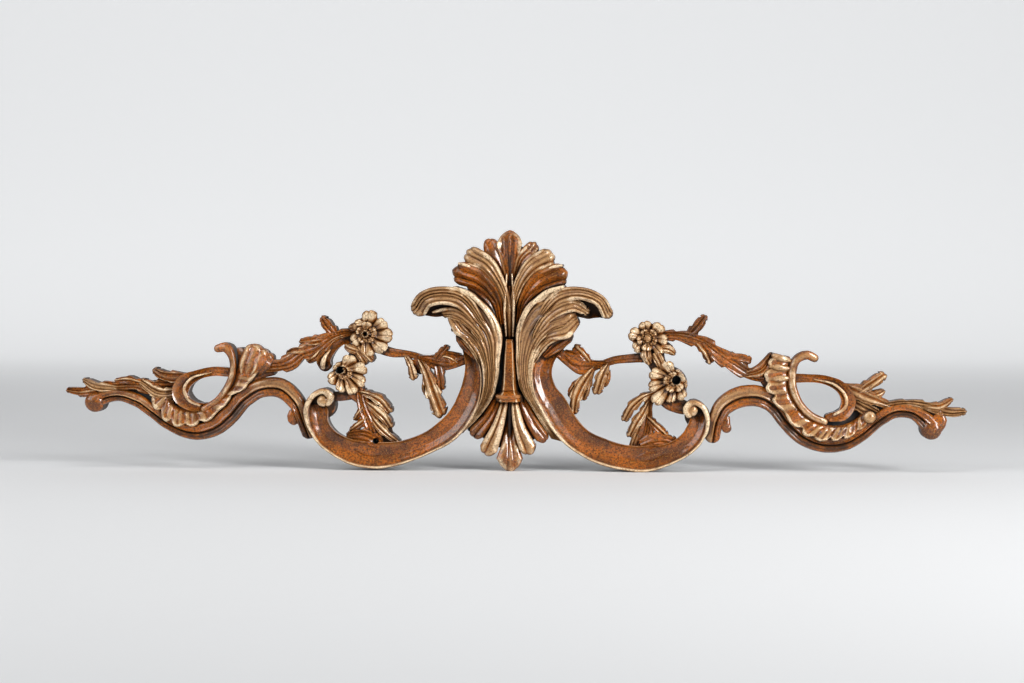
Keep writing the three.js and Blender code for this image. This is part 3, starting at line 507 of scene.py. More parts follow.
stroke([[-9, 40, 2.5, 52], [-14, 60, 4.5, 58], [-26, 76, 6, 62], [-38, 85, 5.5, 60]],
       flutes(2, 15), 7, LACQUER)
stroke([[9, 46, 3, 56], [15, 70, 6, 62], [30, 87, 10.5, 70], [47, 94, 12.4, 66]],
       flutes(3, 7), 11, LACQUER)
stroke([[31, 94, 0.8, 56], [42, 102, 1.6, 66], [52, 104, 1.5, 66]], ROLL, 4, GILT)
stroke([[9, 40, 2.5, 52], [15, 60, 4.5, 58], [27, 75, 6, 62], [39, 83, 5.5, 60]],
       flutes(2, 16), 7, LACQUER)
stroke([[0, -50, 3, 38], [0, -72, 8, 50], [0, -88, 13, 56]],
       flutes(3, 17), 6, MOTTLED, point=0.45, scallop=0.1)
stroke([[0, -30, 1.2, 46], [0, -52, 1.6, 48], [0, -66, 1, 48]], ROLL, 3, DARK, tip=False)
stroke([[6, -74, 0.8, 40], [6.5, -82, 1.2, 50], [4, -92, 1, 48]], ROLL, 3, DARK)
stroke([[-4, -28, 3, 54], [-12, -57, 6, 62], [-21, -78, 9, 58]], flutes(2, 11), 8, GILT, point=0.3)
stroke([[4, -28, 3, 54], [10, -57, 6, 62], [18, -77, 8.5, 58]], flutes(2, 12), 8, GILT, point=0.3)
stroke([[-10, -24, 3.5, 46], [-21, -47, 6, 52], [-33, -62, 8, 50]], flutes(2, 13), 7, LACQUER, point=0.3)
stroke([[10, -24, 3.5, 46], [21, -49, 6, 52], [32, -66, 7, 50]], flutes(2, 14), 7, LACQUER, point=0.3)

# %% [markdown]
# The acanthus leaves are the deepest carving. A stalk rises beside the keystone and widens into a
# fluted leaf, its upper lobe rolls over outwards, and the wood under the roll is hollowed and painted
# dark as shade.

# %% Acanthus leaves
band(
    [[-47, -63], [-29, -45], [-16, -26], [-11, -8], [-9, 12], [-7, 37], [-16, 58], [-30, 72], [-42, 80],
     [-52, 80]],
    [[-52, -59], [-38, -46], [-29, -29], [-26, -8], [-30, 14], [-42, 30], [-53, 36], [-56, 41], [-59, 47],
     [-61, 52]],
    [46, 56, 62, 66, 70, 76, 82, 84, 82, 72], flutes(9, 21), 5, GILT,
)
stroke([[-17, 26, 3, 58], [-31, 52, 6, 86], [-48, 71, 9, 93], [-67, 74.5, 9, 98], [-83, 70, 9, 92],
        [-89, 62, 9, 78]], flutes(5, 22), 6, GILT, scallop=0.08)
stroke([[-12, 22, 0.8, 60], [-15, 44, 1.4, 82], [-24, 62, 2, 90], [-38, 76, 2.2, 94], [-54, 82, 1.8, 92]],
       ROLL, 4, GILT)
stroke([[-22, 12, 2, 52], [-28, 34, 4.5, 80], [-42, 50, 6, 87], [-55, 57, 6.5, 84], [-63, 57, 5, 74]],
       flutes(4, 23), 6, GILT, teeth=2)
stroke([[-58, 66, 9, 66], [-72, 62, 9, 64], [-82, 60, 6, 60]], HOLLOW, 8, SHADED_UNDERSIDE, scallop=0)
stroke([[-52, 61, 1, 68], [-60, 61, 1.8, 77], [-68, 60, 2, 76], [-76, 58, 1.4, 70]], ROLL, 4, WORN)
stroke([[-26, 2, 1.5, 50], [-33, 20, 3.6, 72], [-46, 37, 5, 76], [-55, 42, 4, 64]],
       flutes(3, 24), 6, GILT, teeth=2)
stroke([[-27, 0, 1.5, 50], [-34, 17, 2.6, 68], [-43, 30, 3.4, 70], [-49, 34, 3, 60]],
       flutes(2, 25), 5, GILT)
band(
    [[56, -72], [36, -44], [26, -24], [23, -6], [26, 13], [38, 29], [50, 31], [60, 33], [66, 40],
     [70, 46]],
    [[41, -68], [20, -34], [10, -16], [7, 4], [7, 24], [8, 44], [19, 66], [34, 76], [48, 81], [57, 80]],
    [46, 56, 62, 66, 70, 76, 82, 84, 82, 72], flutes(9, 26), 5, GILT,
)
stroke([[24, 34, 3, 58], [34, 56, 5.5, 84], [50, 73, 7.5, 93], [72, 76.5, 6.5, 98], [90, 69.5, 6, 94],
        [97, 57, 6, 80]], flutes(4, 27), 6, GILT, scallop=0.08)
stroke([[10, 26, 0.8, 60], [13, 46, 1.4, 82], [22, 64, 2, 90], [38, 78, 2.2, 93], [54, 83, 1.8, 92]],
       ROLL, 4, GILT)
stroke([[20, 12, 2, 52], [28, 38, 5, 82], [44, 57, 7, 90], [64, 65, 7, 90], [76, 59, 4.5, 74]],
       flutes(4, 28), 6, GILT, teeth=2)
stroke([[20, 8, 2, 52], [28, 30, 4, 80], [42, 44, 5, 85], [56, 49, 5, 84], [67, 48, 3.5, 72]],
       flutes(3, 29), 6, GILT, teeth=2)
stroke([[66, 64, 10, 62], [82, 62, 11, 56], [92, 58, 6, 54]], HOLLOW, 8, SHADED_UNDERSIDE, scallop=0)
stroke([[22, 4, 1.5, 50], [32, 22, 4, 72], [44, 33, 5, 76], [54, 35, 4, 64]],
       flutes(3, 30), 6, GILT, teeth=2)

# %% [markdown]
# A C-scroll is a broad cove with a gilt fillet along its outer edge. The fillet winds round an eye,
# and the cove sinks under it. The cove keeps its lacquer, and only its edges are gilt.

# %% C-scrolls
band(
    [[-51, 33], [-46, 17], [-44, 4], [-46, -9], [-51, -24], [-60, -41], [-72, -53], [-89, -64],
     [-111, -71], [-136, -72], [-158, -69], [-175, -61], [-182, -50], [-182, -42], [-185, -35]],
    [[-46, 33], [-33, 17], [-28, 1], [-27, -16], [-31, -36], [-43, -57], [-58, -72], [-81, -84],
     [-106, -94], [-132, -99], [-156, -96], [-177, -86], [-195, -71], [-204, -50], [-203, -35]],
    [50, 56, 58, 58, 58, 58, 58, 58, 58, 58, 58, 58, 56, 54, 47], mirrored(COVE), 17, PLAIN,
)
stroke([[-33, 12, 3, 56], [-42, 25, 6.5, 63], [-49, 33, 5.5, 58]], LEAF, 6, LACQUER, point=0.2)
stroke([[-194, -72, 0.8, 46], [-202, -55, 1.6, 57], [-204, -40, 2.3, 60], [-197, -26, 2.5, 62],
        [-186, -21, 3, 64], [-179, -27, 3.5, 64], [-182, -34, 3, 60]], ROLL, 5, GILT)
bead([-190, -36], 14.5, 34, 3, SMOOTH)
stroke([[-31, 20, 5, 50], [-29, 10, 5, 50], [-28, 0, 5, 50]], KEEL, 3, WORN, tip=False)
bead([-187, -31], 6, 61, 9, finish=GILT)
band(
    [[50, 33], [36, 27], [25, 12], [20, -5], [22, -20], [29, -37], [45, -63], [61, -78], [89, -93],
     [114, -99], [137, -100], [160, -93], [180, -82], [191, -71], [197, -52], [196, -42]],
    [[58, 26], [50, 17], [44, 8], [42, -3], [46, -16], [55, -27], [66, -46], [76, -58], [91, -66],
     [113, -73], [138, -74], [160, -70], [171, -62], [175, -56], [178, -50], [181, -42]],
    [48, 50, 54, 58, 58, 58, 58, 58, 58, 58, 58, 58, 58, 56, 54, 47], COVE, 17, PLAIN,
)
stroke([[34, 14, 3, 54], [46, 25, 7, 62], [57, 33, 6.5, 57]], LEAF, 6, LACQUER, point=0.2)
stroke([[189, -72, 0.8, 48], [195, -60, 1.6, 58], [196, -46, 2.3, 60], [191, -35, 2.5, 62],
        [181, -31, 3, 64], [175, -38, 3.5, 64], [178, -44, 3, 60]], ROLL, 5, GILT)
bead([186, -45], 12.5, 34, 3, SMOOTH)
bead([180.5, -39], 6, 61, 9, finish=GILT)

# %% [markdown]
# Inside each C-scroll a twig runs up to two flowers and lets small leaves hang. The flowers are round
# solids whose petals are cupped, and three of them have a drilled eye that is cut at the end.

# %% Flowers
stroke([[-138, 30, 9, 46], [-150, 16, 10, 46], [-157, 4, 9, 46]], ROLL, 6, WORN, tip=False)
stroke([[-158, -10, 9, 44], [-154, -22, 9, 44], [-150, -28, 7, 44]], flutes(3, 31), 5, LACQUER)
stroke([[-184, -27, 5, 32], [-172, -27, 5, 32], [-158, -24, 6, 32]], ROLL, 3, LACQUER, tip=False)
flower([-137, 36], 22, 66, 7, 0.35, (3, 4), (-7, 0))
flower([-162, -7], 20, 64, 7, 0.1, (-4, 2), (-5.5, 7))
flower([-142.5, 36.5], 11.5, 70, 5, 0.9, (2, 3), (-1.5, -0.5))
flower([-165, -2.5], 8.5, 67, 4, 0.4, (-3, 2), (-2.5, 2.5))
for nodes in (
    [[-150, 24, 6, 54], [-143, 16, 5, 59], [-139, 11, 4, 52]],
    [[-152, 20, 5, 54], [-147, 12, 4.5, 58], [-145, 8, 3.6, 52]],
    [[-150, 18, 4, 54], [-159, 21, 4.5, 58], [-163, 23, 3.6, 50]],
    [[-138, 44, 4, 62], [-150, 44, 5, 64], [-158, 42, 4, 54]],
):
    stroke(nodes, LEAF, 6, GILT, point=0.2)
stroke([[141, 22, 12, 46], [146, 8, 9, 46], [154, -6, 9, 46]], ROLL, 6, WORN, tip=False)
stroke([[154, -18, 9, 44], [158, -28, 10, 42], [166, -34, 8, 42], [178, -38, 6, 42]],
       flutes(3, 32), 5, LACQUER, tip=False)
flower([138.5, 30], 20.5, 66, 7, 0.5, (-3, 4), (-1.5, 3))
bead([137, 33], 3.6, 68, 5, GILT)
flower([158, -14], 22, 63, 8, 0.5, (4, 2), (6, 5))
flower([137, 32], 11.5, 70, 5, 0.2, (-2, 3), (0, 1))
flower([162.5, -10.5], 11, 68, 5, 1.1, (3, 2), (1.5, 1.5))
for nodes in (
    [[144, 18, 5, 56], [149, 9, 5, 60], [151, 4, 4, 54]],
    [[150, 22, 4, 54], [158, 21, 4.5, 58], [162, 18, 3.4, 52]],
    [[136, 22, 4, 58], [136, 14, 5, 62], [138, 9, 4, 54]],
):
    stroke(nodes, LEAF, 6, GILT, point=0.2)

# %% Inner twigs
stroke([[-44, 11, 5, 40], [-58, 7, 6, 42], [-72, 4, 5, 38], [-86, 10, 4, 34], [-100, 15, 3.2, 32],
        [-118, 17, 4.5, 38], [-134, 22, 5, 42]], flutes(2, 33), 5, LACQUER, tip=False)
stroke([[-50, 11, 6, 42], [-64, 11, 8, 49], [-78, 11, 4, 42], [-92, 13, 2, 36]],
       flutes(3, 34), 7, LACQUER, tip=False)
stroke([[-74, 10, 5, 46], [-68, 18, 5, 52], [-64, 22, 3.5, 48]], LEAF, 6, LACQUER, teeth=2)
stroke([[-52, 6, 3, 40], [-62, 12, 4, 53], [-70, 13, 3, 46]], LEAF, 5, WORN, point=0.4)
stroke([[-92, 11, 3, 34], [-84, -2, 6, 44], [-77, -22, 9, 52], [-70.5, -40, 8.5, 48]],
       LEAF, 9, GILT, teeth=4, point=0.2)
stroke([[-82, -4, 3, 40], [-86, -16, 3.5, 42], [-85, -24, 2.5, 36]], LEAF, 4, GILT, teeth=2, point=0.3)
stroke([[-72, 4, 6, 40], [-70, -6, 5.5, 42], [-69, -17, 4, 42]], flutes(2, 35), 5, LACQUER, teeth=2)
stroke([[-106, 15, 2.4, 34], [-100, 5, 4, 42], [-97, -6, 5, 41]], LEAF, 6, GILT, teeth=2, point=0.2)
stroke([[-95, 11, 5, 32], [-92, 3, 4, 28], [-91, -2, 3, 24]], KEEL, 3, LACQUER, scallop=0)
stroke([[48, 18, 5, 42], [60, 9, 6, 44], [72, 1, 5.5, 42], [88, 5, 4, 36], [104, 10, 4, 34],
        [122, 12, 4.5, 38], [140, 13, 5, 42]], flutes(2, 36), 5, LACQUER, tip=False)
stroke([[54, 18, 3, 44], [66, 12, 7, 50], [80, 7, 4, 44], [96, 8, 2, 36]],
       flutes(3, 37), 7, LACQUER, tip=False)
stroke([[79, 8, 4, 44], [73, 15, 6, 50], [67, 21, 5.5, 50]], LEAF, 6, WORN, teeth=2)
stroke([[98, 7, 2.5, 34], [92, -4, 6.5, 46], [87, -19, 6, 45]], LEAF, 7, GILT, teeth=3, point=0.15)
stroke([[97, 0, 3, 36], [96, -8, 4, 44], [94, -14, 3.5, 38]], LEAF, 5, GILT, point=0.2)
stroke([[84, 3, 3, 38], [74, -10, 7.5, 48], [66, -26, 7, 52], [64, -40, 5, 48]],
       LEAF, 8, GILT, teeth=4, point=0.15)
stroke([[80, -6, 3.5, 40], [76, -18, 5.5, 46], [73, -27, 4, 42]], LEAF, 6, GILT, teeth=2, point=0.2)
stroke([[70, -9, 3.5, 40], [62, -18, 4, 44], [60, -24, 3, 40]], LEAF, 5, WORN, teeth=2, point=0.2)

# %% [markdown]
# A leaf stands upright in each C-scroll, over the place where the cove is widest. Its lobes overlap like
# shingles, each a short stroke of its own that springs from the middle rib.

# %% Upright leaves
stroke([[-145, -28, 4, 34], [-136, -42, 9, 37], [-130, -58, 11, 37], [-128, -74, 12, 34]],
       KEEL, 3, LACQUER, tip=False)
stroke([[-133, -80, 8, 38], [-138, -56, 8, 49], [-146, -36, 7, 48], [-150, -20, 5, 44]],
       flutes(4, 41), 6, LACQUER, tip=False)
stroke([[-152, -22, 2, 44], [-140, -25, 4.8, 54], [-129, -31, 6, 58], [-122, -40, 5, 50]],
       mirrored(LEAF), 7, GILT, teeth=3)
stroke([[-146, -31, 2, 44], [-135, -39, 5.5, 55], [-126, -47, 6, 56], [-121, -55, 4.6, 48]],
       mirrored(LEAF), 7, GILT, teeth=3)
stroke([[-141, -43, 2, 46], [-132, -55, 5.5, 54], [-122, -65, 4.8, 50], [-113, -72, 3, 40]],
       mirrored(LEAF), 7, GILT, teeth=3, point=0.2)
stroke([[-142, -48, 4, 48], [-152, -56, 5, 52], [-158, -60, 3.5, 46]], LEAF, 6, WORN, teeth=2, point=0.2)
stroke([[-146, -38, 4, 48], [-152, -45, 3.8, 50], [-155, -49, 3, 42]], LEAF, 5, WORN, teeth=2, point=0.2)
stroke([[-130, -74, 8, 48], [-146, -66, 8.5, 56], [-160, -66, 5, 50]], flutes(4, 42), 6, LACQUER, teeth=3)
stroke([[-118, -84, 2, 36], [-136, -82, 6, 46], [-152, -77, 6, 46], [-166, -74, 3, 40]],
       ROLL, 7, LACQUER, scallop=0)
stroke([[126, -80, 9, 38], [135, -62, 8, 49], [137, -46, 5, 48], [138, -32, 4.5, 46], [146, -22, 5, 44]],
       flutes(4, 43), 6, LACQUER, tip=False)
stroke([[142, -22, 2, 44], [131, -27, 5, 54], [121, -36, 6, 58], [115, -47, 4.6, 50]],
       LEAF, 7, GILT, teeth=3)
stroke([[138, -30, 2, 44], [132, -42, 5.5, 56], [125, -53, 6, 56], [120, -63, 4.4, 48]],
       LEAF, 7, GILT, teeth=3)
stroke([[129, -56, 4, 48], [124, -68, 4.4, 46], [121, -78, 3, 42]], LEAF, 5, GILT, teeth=2, point=0.2)
stroke([[134, -44, 2, 46], [145, -55, 6, 54], [154, -63, 4, 48]],
       mirrored(LEAF), 6, WORN, teeth=2, point=0.2)
stroke([[130, -74, 8, 48], [147, -68, 8.5, 54], [162, -70, 5, 48]], flutes(4, 44), 6, LACQUER, teeth=3)
stroke([[114, -88, 2, 36], [132, -86, 6, 46], [148, -81, 6, 46], [162, -76, 3, 40]],
       ROLL, 7, LACQUER, scallop=0)

# %% Upper branches
stroke([[-148, 37, 4, 48], [-164, 37, 4.5, 48], [-180, 32, 7, 49], [-196, 21, 12, 50], [-208, 17, 9, 48],
        [-220, 8, 9.5, 46], [-233, 4, 8, 44], [-250, 4, 8, 42]],
       flutes(4, 51), 6, RUBBED, tip=False, teeth=5)
stroke([[-174, 34, 4, 46], [-181, 42, 7, 52], [-187, 50, 4.5, 48]], LEAF, 7, LACQUER, teeth=2, point=0.2)
stroke([[-184, 31, 4, 46], [-198, 29, 6, 53], [-209, 28, 3.5, 46]],
       flutes(3, 52), 6, WORN, teeth=2, point=0.2)
stroke([[-202, 20, 4, 46], [-214, 19, 5, 50], [-223, 17, 2.5, 42]],
       flutes(2, 53), 5, WORN, teeth=2, point=0.3)
stroke([[-188, 22, 4, 46], [-194, 13, 5, 54], [-201, 9, 3.5, 46]], LEAF, 6, WORN, teeth=2, point=0.2)
stroke([[-150, 32, 5, 42], [-166, 30, 4.5, 44], [-178, 22, 5, 46], [-186, 10, 7, 54], [-186, 5, 7, 46]],
       HOLLOW, 8, SMOOTH, scallop=0)
stroke([[-180, 20, 1, 46], [-185, 12, 2, 56], [-187, 6, 2.4, 56], [-187, 2, 2, 50]], ROLL, 4, GILT)
stroke([[144, 34, 5, 48], [160, 35, 6, 48], [176, 33, 7.5, 51], [192, 27, 8.5, 51], [207, 16, 9, 50],
        [222, 6, 9, 48], [236, -2, 7.5, 44], [252, -5, 6.5, 42]],
       flutes(4, 54), 6, RUBBED, tip=False, teeth=6)
stroke([[174, 33, 3, 48], [184, 42, 7, 54], [192, 52, 4.5, 50]], LEAF, 7, LACQUER, teeth=2, point=0.1)
stroke([[184, 31, 4, 48], [195, 18, 6.4, 57], [198, 11, 5, 48]], LEAF, 7, WORN, teeth=2)
stroke([[210, 15, 4, 46], [224, 14, 5, 52], [236, 11, 4.5, 46]], flutes(2, 55), 6, LACQUER, teeth=2)
stroke([[232, -4, 3, 44], [248, 1, 6.4, 52], [259, 15, 4, 46]], flutes(3, 56), 6, WORN, point=0.2)
stroke([[154, 22, 5, 44], [158, 27, 5, 40]], KEEL, 4, WORN, tip=False, root=True)

# %% [markdown]
# The outer part of each wing is rocaille: an S-scroll of two bands with a deep groove between them, a
# ribbed shell that ruffles round a loop, and a spray of leaves that carries the wing to its tip.

# %% S-scrolls
stroke([[-203, -63, 7, 42], [-208, -50, 7, 44], [-215, -33, 8.5, 46], [-231, -19, 10, 46],
        [-250, -19, 9.5, 46], [-268, -29, 9.5, 42], [-284, -47, 9.5, 42], [-302, -60, 9, 42],
        [-322, -63, 8, 42], [-344, -55, 7, 42], [-361, -43, 6.5, 42], [-377, -32, 6.5, 42],
        [-397, -27, 6, 42], [-416, -31, 7, 46], [-421, -34, 8, 44]],
       DOUBLE_BAND, 10, [WORN, (0, 0.7), WORN, LACQUER, LACQUER, RUBBED, WORN, LACQUER], root=True,
       scallop=0)
stroke([[-218, -42, 4, 40], [-220, -48, 4.5, 42], [-218, -52, 4.5, 40]], ROLL, 5, LACQUER)
bead([-420.5, -34], 10, 47, finish=SMOOTH)
stroke([[201, -64, 8, 42], [204, -50, 8, 44], [212, -35, 9.5, 46], [228, -26, 10.5, 46],
        [246, -25, 10.5, 46], [262, -33, 10, 42], [275, -49, 9.5, 42], [289, -63, 9.5, 42],
        [309, -72, 8.5, 42], [329, -71, 8, 42], [347, -62, 7.5, 42], [364, -48, 7, 42], [382, -39, 7, 42],
        [399, -41, 7, 44], [411, -50, 9, 46], [415, -55, 10, 44]],
       mirrored(DOUBLE_BAND), 10, [(0, 0.8), (0, 0.8), WORN, LACQUER, LACQUER, LACQUER, RUBBED, LACQUER],
       root=True, scallop=0)
stroke([[213, -46, 5, 40], [214, -56, 5, 42], [215, -57, 5, 40]], ROLL, 5, LACQUER)
bead([415.5, -57], 10.5, 47, finish=SMOOTH)

# %% Shells
shell(
    [[-274, 22], [-274, 4], [-278, -14], [-290, -28], [-302, -36], [-312, -40], [-326, -41], [-338, -36],
     [-344, -26], [-345, -18]],
    [[-243, 18], [-250, 2], [-262, -16], [-279, -28], [-291, -42], [-305, -53], [-325, -58], [-342, -56],
     [-356, -44], [-364, -28]],
    [54, 54, 53, 53, 52, 51, 50, 50, 48, 44], 9, True,
)
stroke([[-267, -10, 5, 46], [-262, 3, 10, 61], [-257, 16, 10.5, 58]], flutes(3, 61), 8, WORN, scallop=0.1)
stroke([[-261, -6, 4, 46], [-253, 6, 7, 60], [-249, 14, 7.5, 56]], KEEL, 8, RUBBED, scallop=0)
stroke([[-256, -4, 5, 42], [-247, 6, 7, 52], [-243, 11, 6, 47]], KEEL, 6, RUBBED, scallop=0)
stroke([[-238, 2, 8, 36], [-252, 0, 10, 36], [-266, -12, 8, 36]], ROLL, 4, LACQUER, tip=False)
stroke([[-258, -14, 9, 30], [-274, -32, 9, 30], [-296, -48, 11, 30], [-322, -50, 12, 30],
        [-344, -38, 14, 30], [-354, -24, 12, 30], [-374, -22, 8, 28], [-394, -21, 5, 26]], KEEL, 2, DARK)
shell(
    [[277, 14], [276, 0], [277, -18], [285, -34], [297, -46], [312, -53], [328, -53], [342, -47],
     [350, -36]],
    [[259, 17], [252, -2], [254, -20], [266, -37], [281, -55], [299, -67], [321, -69], [340, -63],
     [356, -50]],
    [56, 56, 55, 54, 53, 52, 51, 50, 46], 10, False,
)
for nodes in (
    [[278, 10, 2, 50], [268, 13, 3.4, 59], [261, 15, 3, 54]],
    [[279, 2, 2, 50], [266, 4, 3.4, 59], [258, 5, 3, 54]],
    [[280, -7, 2, 50], [267, -7, 3.4, 58], [258, -7, 3, 52]],
):
    stroke(nodes, ROLL, 7, GILT)
stroke([[250, 2, 8, 36], [258, -8, 10, 36], [268, -24, 8, 36]], ROLL, 4, LACQUER, tip=False)
stroke([[264, -14, 9, 30], [275, -34, 9, 30], [294, -51, 11, 30], [316, -58, 11, 30], [338, -52, 14, 30],
        [354, -40, 14, 30], [372, -38, 6, 28]], KEEL, 2, DARK)

# %% Loops
stroke([[-294, 21, 4, 50], [-285, 22, 5, 54], [-279, 13, 3.5, 56], [-278, -2, 3, 56], [-283, -16, 3, 56],
        [-294, -31, 3, 54], [-308, -40, 3.5, 50]], ROLL, 6, (0, 0.42), root=True, scallop=0)
stroke([[-280, -3, 4.5, 46], [-298, -2, 4.5, 46], [-315, -6, 5, 46], [-328, -14, 8, 50],
        [-331, -26, 8, 52], [-320, -37, 5, 48], [-306, -37, 3, 46]], HOLLOW, 6, SMOOTH, scallop=0)
stroke([[-300, -3, 0.8, 44], [-320, -9, 1.4, 52], [-327, -20, 2, 54], [-322, -31, 2, 53],
        [-312, -36, 1.4, 50]], ROLL, 3, WORN)
stroke([[-326, -7, 4, 44], [-341, -8, 7, 44], [-353, -5, 5, 46], [-358, -2, 4, 42]],
       flutes(3, 63), 6, WORN, teeth=2)
stroke([[301, 13, 4.2, 50], [293, 16, 4.5, 54], [283, 11, 4, 56], [279, -2, 4, 56], [280, -17, 4, 56],
        [286, -31, 3.5, 56], [297, -43, 3.5, 54], [311, -50, 3.5, 50]],
       ROLL, 6, (0, 0.5), root=True, scallop=0)
stroke([[280, -7, 4.5, 46], [296, -7, 4, 46], [313, -9, 4.5, 46], [328, -17, 6, 50], [334, -30, 7, 52],
        [329, -42, 6, 50], [315, -46, 4, 46]], HOLLOW, 6, SMOOTH, scallop=0)
stroke([[300, -8, 0.8, 44], [320, -13, 1.4, 52], [331, -24, 2, 54], [331, -35, 2, 53],
        [320, -43, 1.4, 50]], ROLL, 3, WORN)
stroke([[330, -14, 4, 42], [344, -21, 9, 46], [360, -28, 7, 45], [376, -34, 4, 38]],
       LEAF, 7, GILT, teeth=3)
stroke([[342, -22, 3, 40], [355, -13, 6.8, 49], [367, -5, 5.5, 44]], LEAF, 7, GILT, teeth=2)

# %% Sprays
stroke([[-338, -19, 9, 36], [-362, -19, 9, 41], [-378, -16, 6.5, 41], [-396, -17, 5.5, 40],
        [-414, -19, 6.5, 40], [-431, -23, 6, 36], [-449, -22, 3, 28]],
       flutes(4, 71), 7, WORN, teeth=6, point=0.3)
stroke([[-336, -24, 6, 38], [-354, -24, 7, 47], [-371, -14, 5, 44]],
       flutes(4, 72), 7, GILT, teeth=3, point=0.2)
stroke([[-368, -16, 3, 40], [-386, -11, 5, 46], [-398, -12, 2.8, 38]], LEAF, 6, WORN, teeth=3, point=0.3)
stroke([[-398, -20, 4, 40], [-420, -17, 5.5, 46], [-431, -12, 3, 38]],
       flutes(3, 73), 6, GILT, teeth=2, point=0.2)
stroke([[-410, -21, 4, 38], [-426, -24, 5, 40], [-436, -25, 4, 32]], LEAF, 5, WORN, teeth=2, point=0.3)
stroke([[-340, -30, 5, 38], [-350, -36, 7, 45], [-357, -42, 6, 38]], flutes(4, 74), 7, GILT, teeth=2)
stroke([[370, -34, 5, 40], [388, -31, 4, 42], [402, -32, 5, 40], [418, -36, 6, 40], [434, -40, 6, 38],
        [447, -40, 4, 30]], flutes(4, 75), 6, GILT, teeth=4, point=0.2)
stroke([[408, -34, 3, 38], [424, -34, 5, 44], [435, -28, 2.6, 38]], LEAF, 6, GILT, teeth=2, point=0.2)
stroke([[420, -42, 7, 38], [425, -49, 6, 40], [421, -56, 6, 40]], ROLL, 5, LACQUER)
stroke([[334, -28, 6, 38], [350, -36, 8, 44], [364, -43, 5, 38]], flutes(4, 76), 7, GILT, teeth=3)
stroke([[356, -24, 4, 40], [364, -22, 4.4, 44], [368, -20, 3, 38]], LEAF, 5, GILT, point=0.3)
bead([355, -45], 6, 53, 8, GILT)
stroke([[402, -42, 5, 32], [414, -43, 5, 32], [424, -44, 5, 32]], KEEL, 3, DARK, tip=False)

# %% [markdown]
# What is left to cut away: the drilled eyes of the flowers, and the drill hole at the foot of the left
# leaf. A drill widens towards the front and has a narrow point.
#
# The slab behind the wall plane was meant to saw the back flat there. Its faces point inwards, so it
# doesn't: it leaves loose skin inside, which is dropped later, and the back stays where the strokes
# put it, an allowance behind the wall plane.

# %% Cutters
DRILL_SIDES = 20
SLAB = 0.05


def drill(place, radius, from_height, to_height, lean=0.0):
    """A round cutter. The lean is how far it moves to the right per step towards the front."""
    angle = -np.arange(DRILL_SIDES) / DRILL_SIDES * 2 * np.pi
    rings = []
    for height, wide in ((to_height, 0.7), (to_height + 4, 0.95), (from_height, 1.1)):
        shift = lean * (height - to_height) * HUNDREDTH
        ring = np.empty((DRILL_SIDES, 3))
        ring[:, 0] = place[0] * SQUARE + radius * wide * SQUARE * np.cos(angle) + shift
        ring[:, 1] = -height * HUNDREDTH
        ring[:, 2] = place[1] * SQUARE + radius * wide * SQUARE * np.sin(angle)
        rings.append(ring)
    solid(rings, np.full((3, DRILL_SIDES), -1.0), cutters)


drill([-167.5, 0], 3.8, 90, 30, -0.12)
drill([164, -9], 4.4, 90, 30, 0.08)
drill([-134, -71], 3, 70, 24)
drill([-144, 36], 1.3, 80, 46)
reach = 2 * WIDTH_IN_SQUARES * SQUARE
slab_corners = np.array([(reach, 0, reach), (reach, 0, -reach), (-reach, 0, -reach), (-reach, 0, reach)])
solid([slab_corners, slab_corners + (0, SLAB, 0)], np.full((2, 4), WALL_GILDING), cutters)

# %% [markdown]
# Geometry Nodes join the strokes and cut the holes. A collection goes in by name, each object in it is
# one operand, and the manifold solver keeps the result closed. The tree ends in Realize Instances and
# Set Material, and its result is taken out as a plain mesh.

# %% The wood material
gilt_wood = bpy.data.materials.new("gilt_and_lacquered_wood")

# %% Join and cut
def carving_tree():
    """Nodes that join one collection, cut another from it and give the result its material."""
    tree = bpy.data.node_groups.new("join_and_cut", "GeometryNodeTree")
    for name, kind in (("Strokes", "Collection"), ("Cutters", "Collection"), ("Finish", "Material")):
        tree.interface.new_socket(name, in_out="INPUT", socket_type=f"NodeSocket{kind}")
    tree.interface.new_socket("Carving", in_out="OUTPUT", socket_type="NodeSocketGeometry")
    entry = tree.nodes.new("NodeGroupInput")
    leave = tree.nodes.new("NodeGroupOutput")
    union = tree.nodes.new("GeometryNodeMeshBoolean")
    cut = tree.nodes.new("GeometryNodeMeshBoolean")
    union.operation, cut.operation = "UNION", "DIFFERENCE"
    for node in (union, cut):
        node.solver = "MANIFOLD"
    for name, boolean in (("Strokes", union), ("Cutters", cut)):
        info = tree.nodes.new("GeometryNodeCollectionInfo")
        info.inputs["Separate Children"].default_value = True
        tree.links.new(entry.outputs[name], info.inputs["Collection"])
        tree.links.new(info.outputs["Instances"], boolean.inputs["Mesh 2"])
    realize = tree.nodes.new("GeometryNodeRealizeInstances")
    finish = tree.nodes.new("GeometryNodeSetMaterial")
    tree.links.new(union.outputs["Mesh"], cut.inputs["Mesh 1"])
    tree.links.new(cut.outputs["Mesh"], realize.inputs["Geometry"])
    tree.links.new(realize.outputs["Geometry"], finish.inputs["Geometry"])
    tree.links.new(entry.outputs["Finish"], finish.inputs["Material"])
    tree.links.new(finish.outputs["Geometry"], leave.inputs["Carving"])
    return tree


tree = carving_tree()
block = bpy.data.objects.new("block", bpy.data.meshes.new("block"))
bpy.context.scene.collection.objects.link(block)
modifier = block.modifiers.new("join_and_cut", "NODES")
modifier.node_group = tree
sockets = tree.interface.items_tree
for name, value in (("Strokes", strokes), ("Cutters", cutters), ("Finish", gilt_wood)):
    modifier[sockets[name].identifier] = value
graph = bpy.context.evaluated_depsgraph_get()
joined = bpy.data.meshes.new_from_object(block.evaluated_get(graph))
bpy.data.objects.remove(block)
print("joined", len(joined.vertices), "vertices", len(joined.polygons), "faces", joined.attributes.keys())

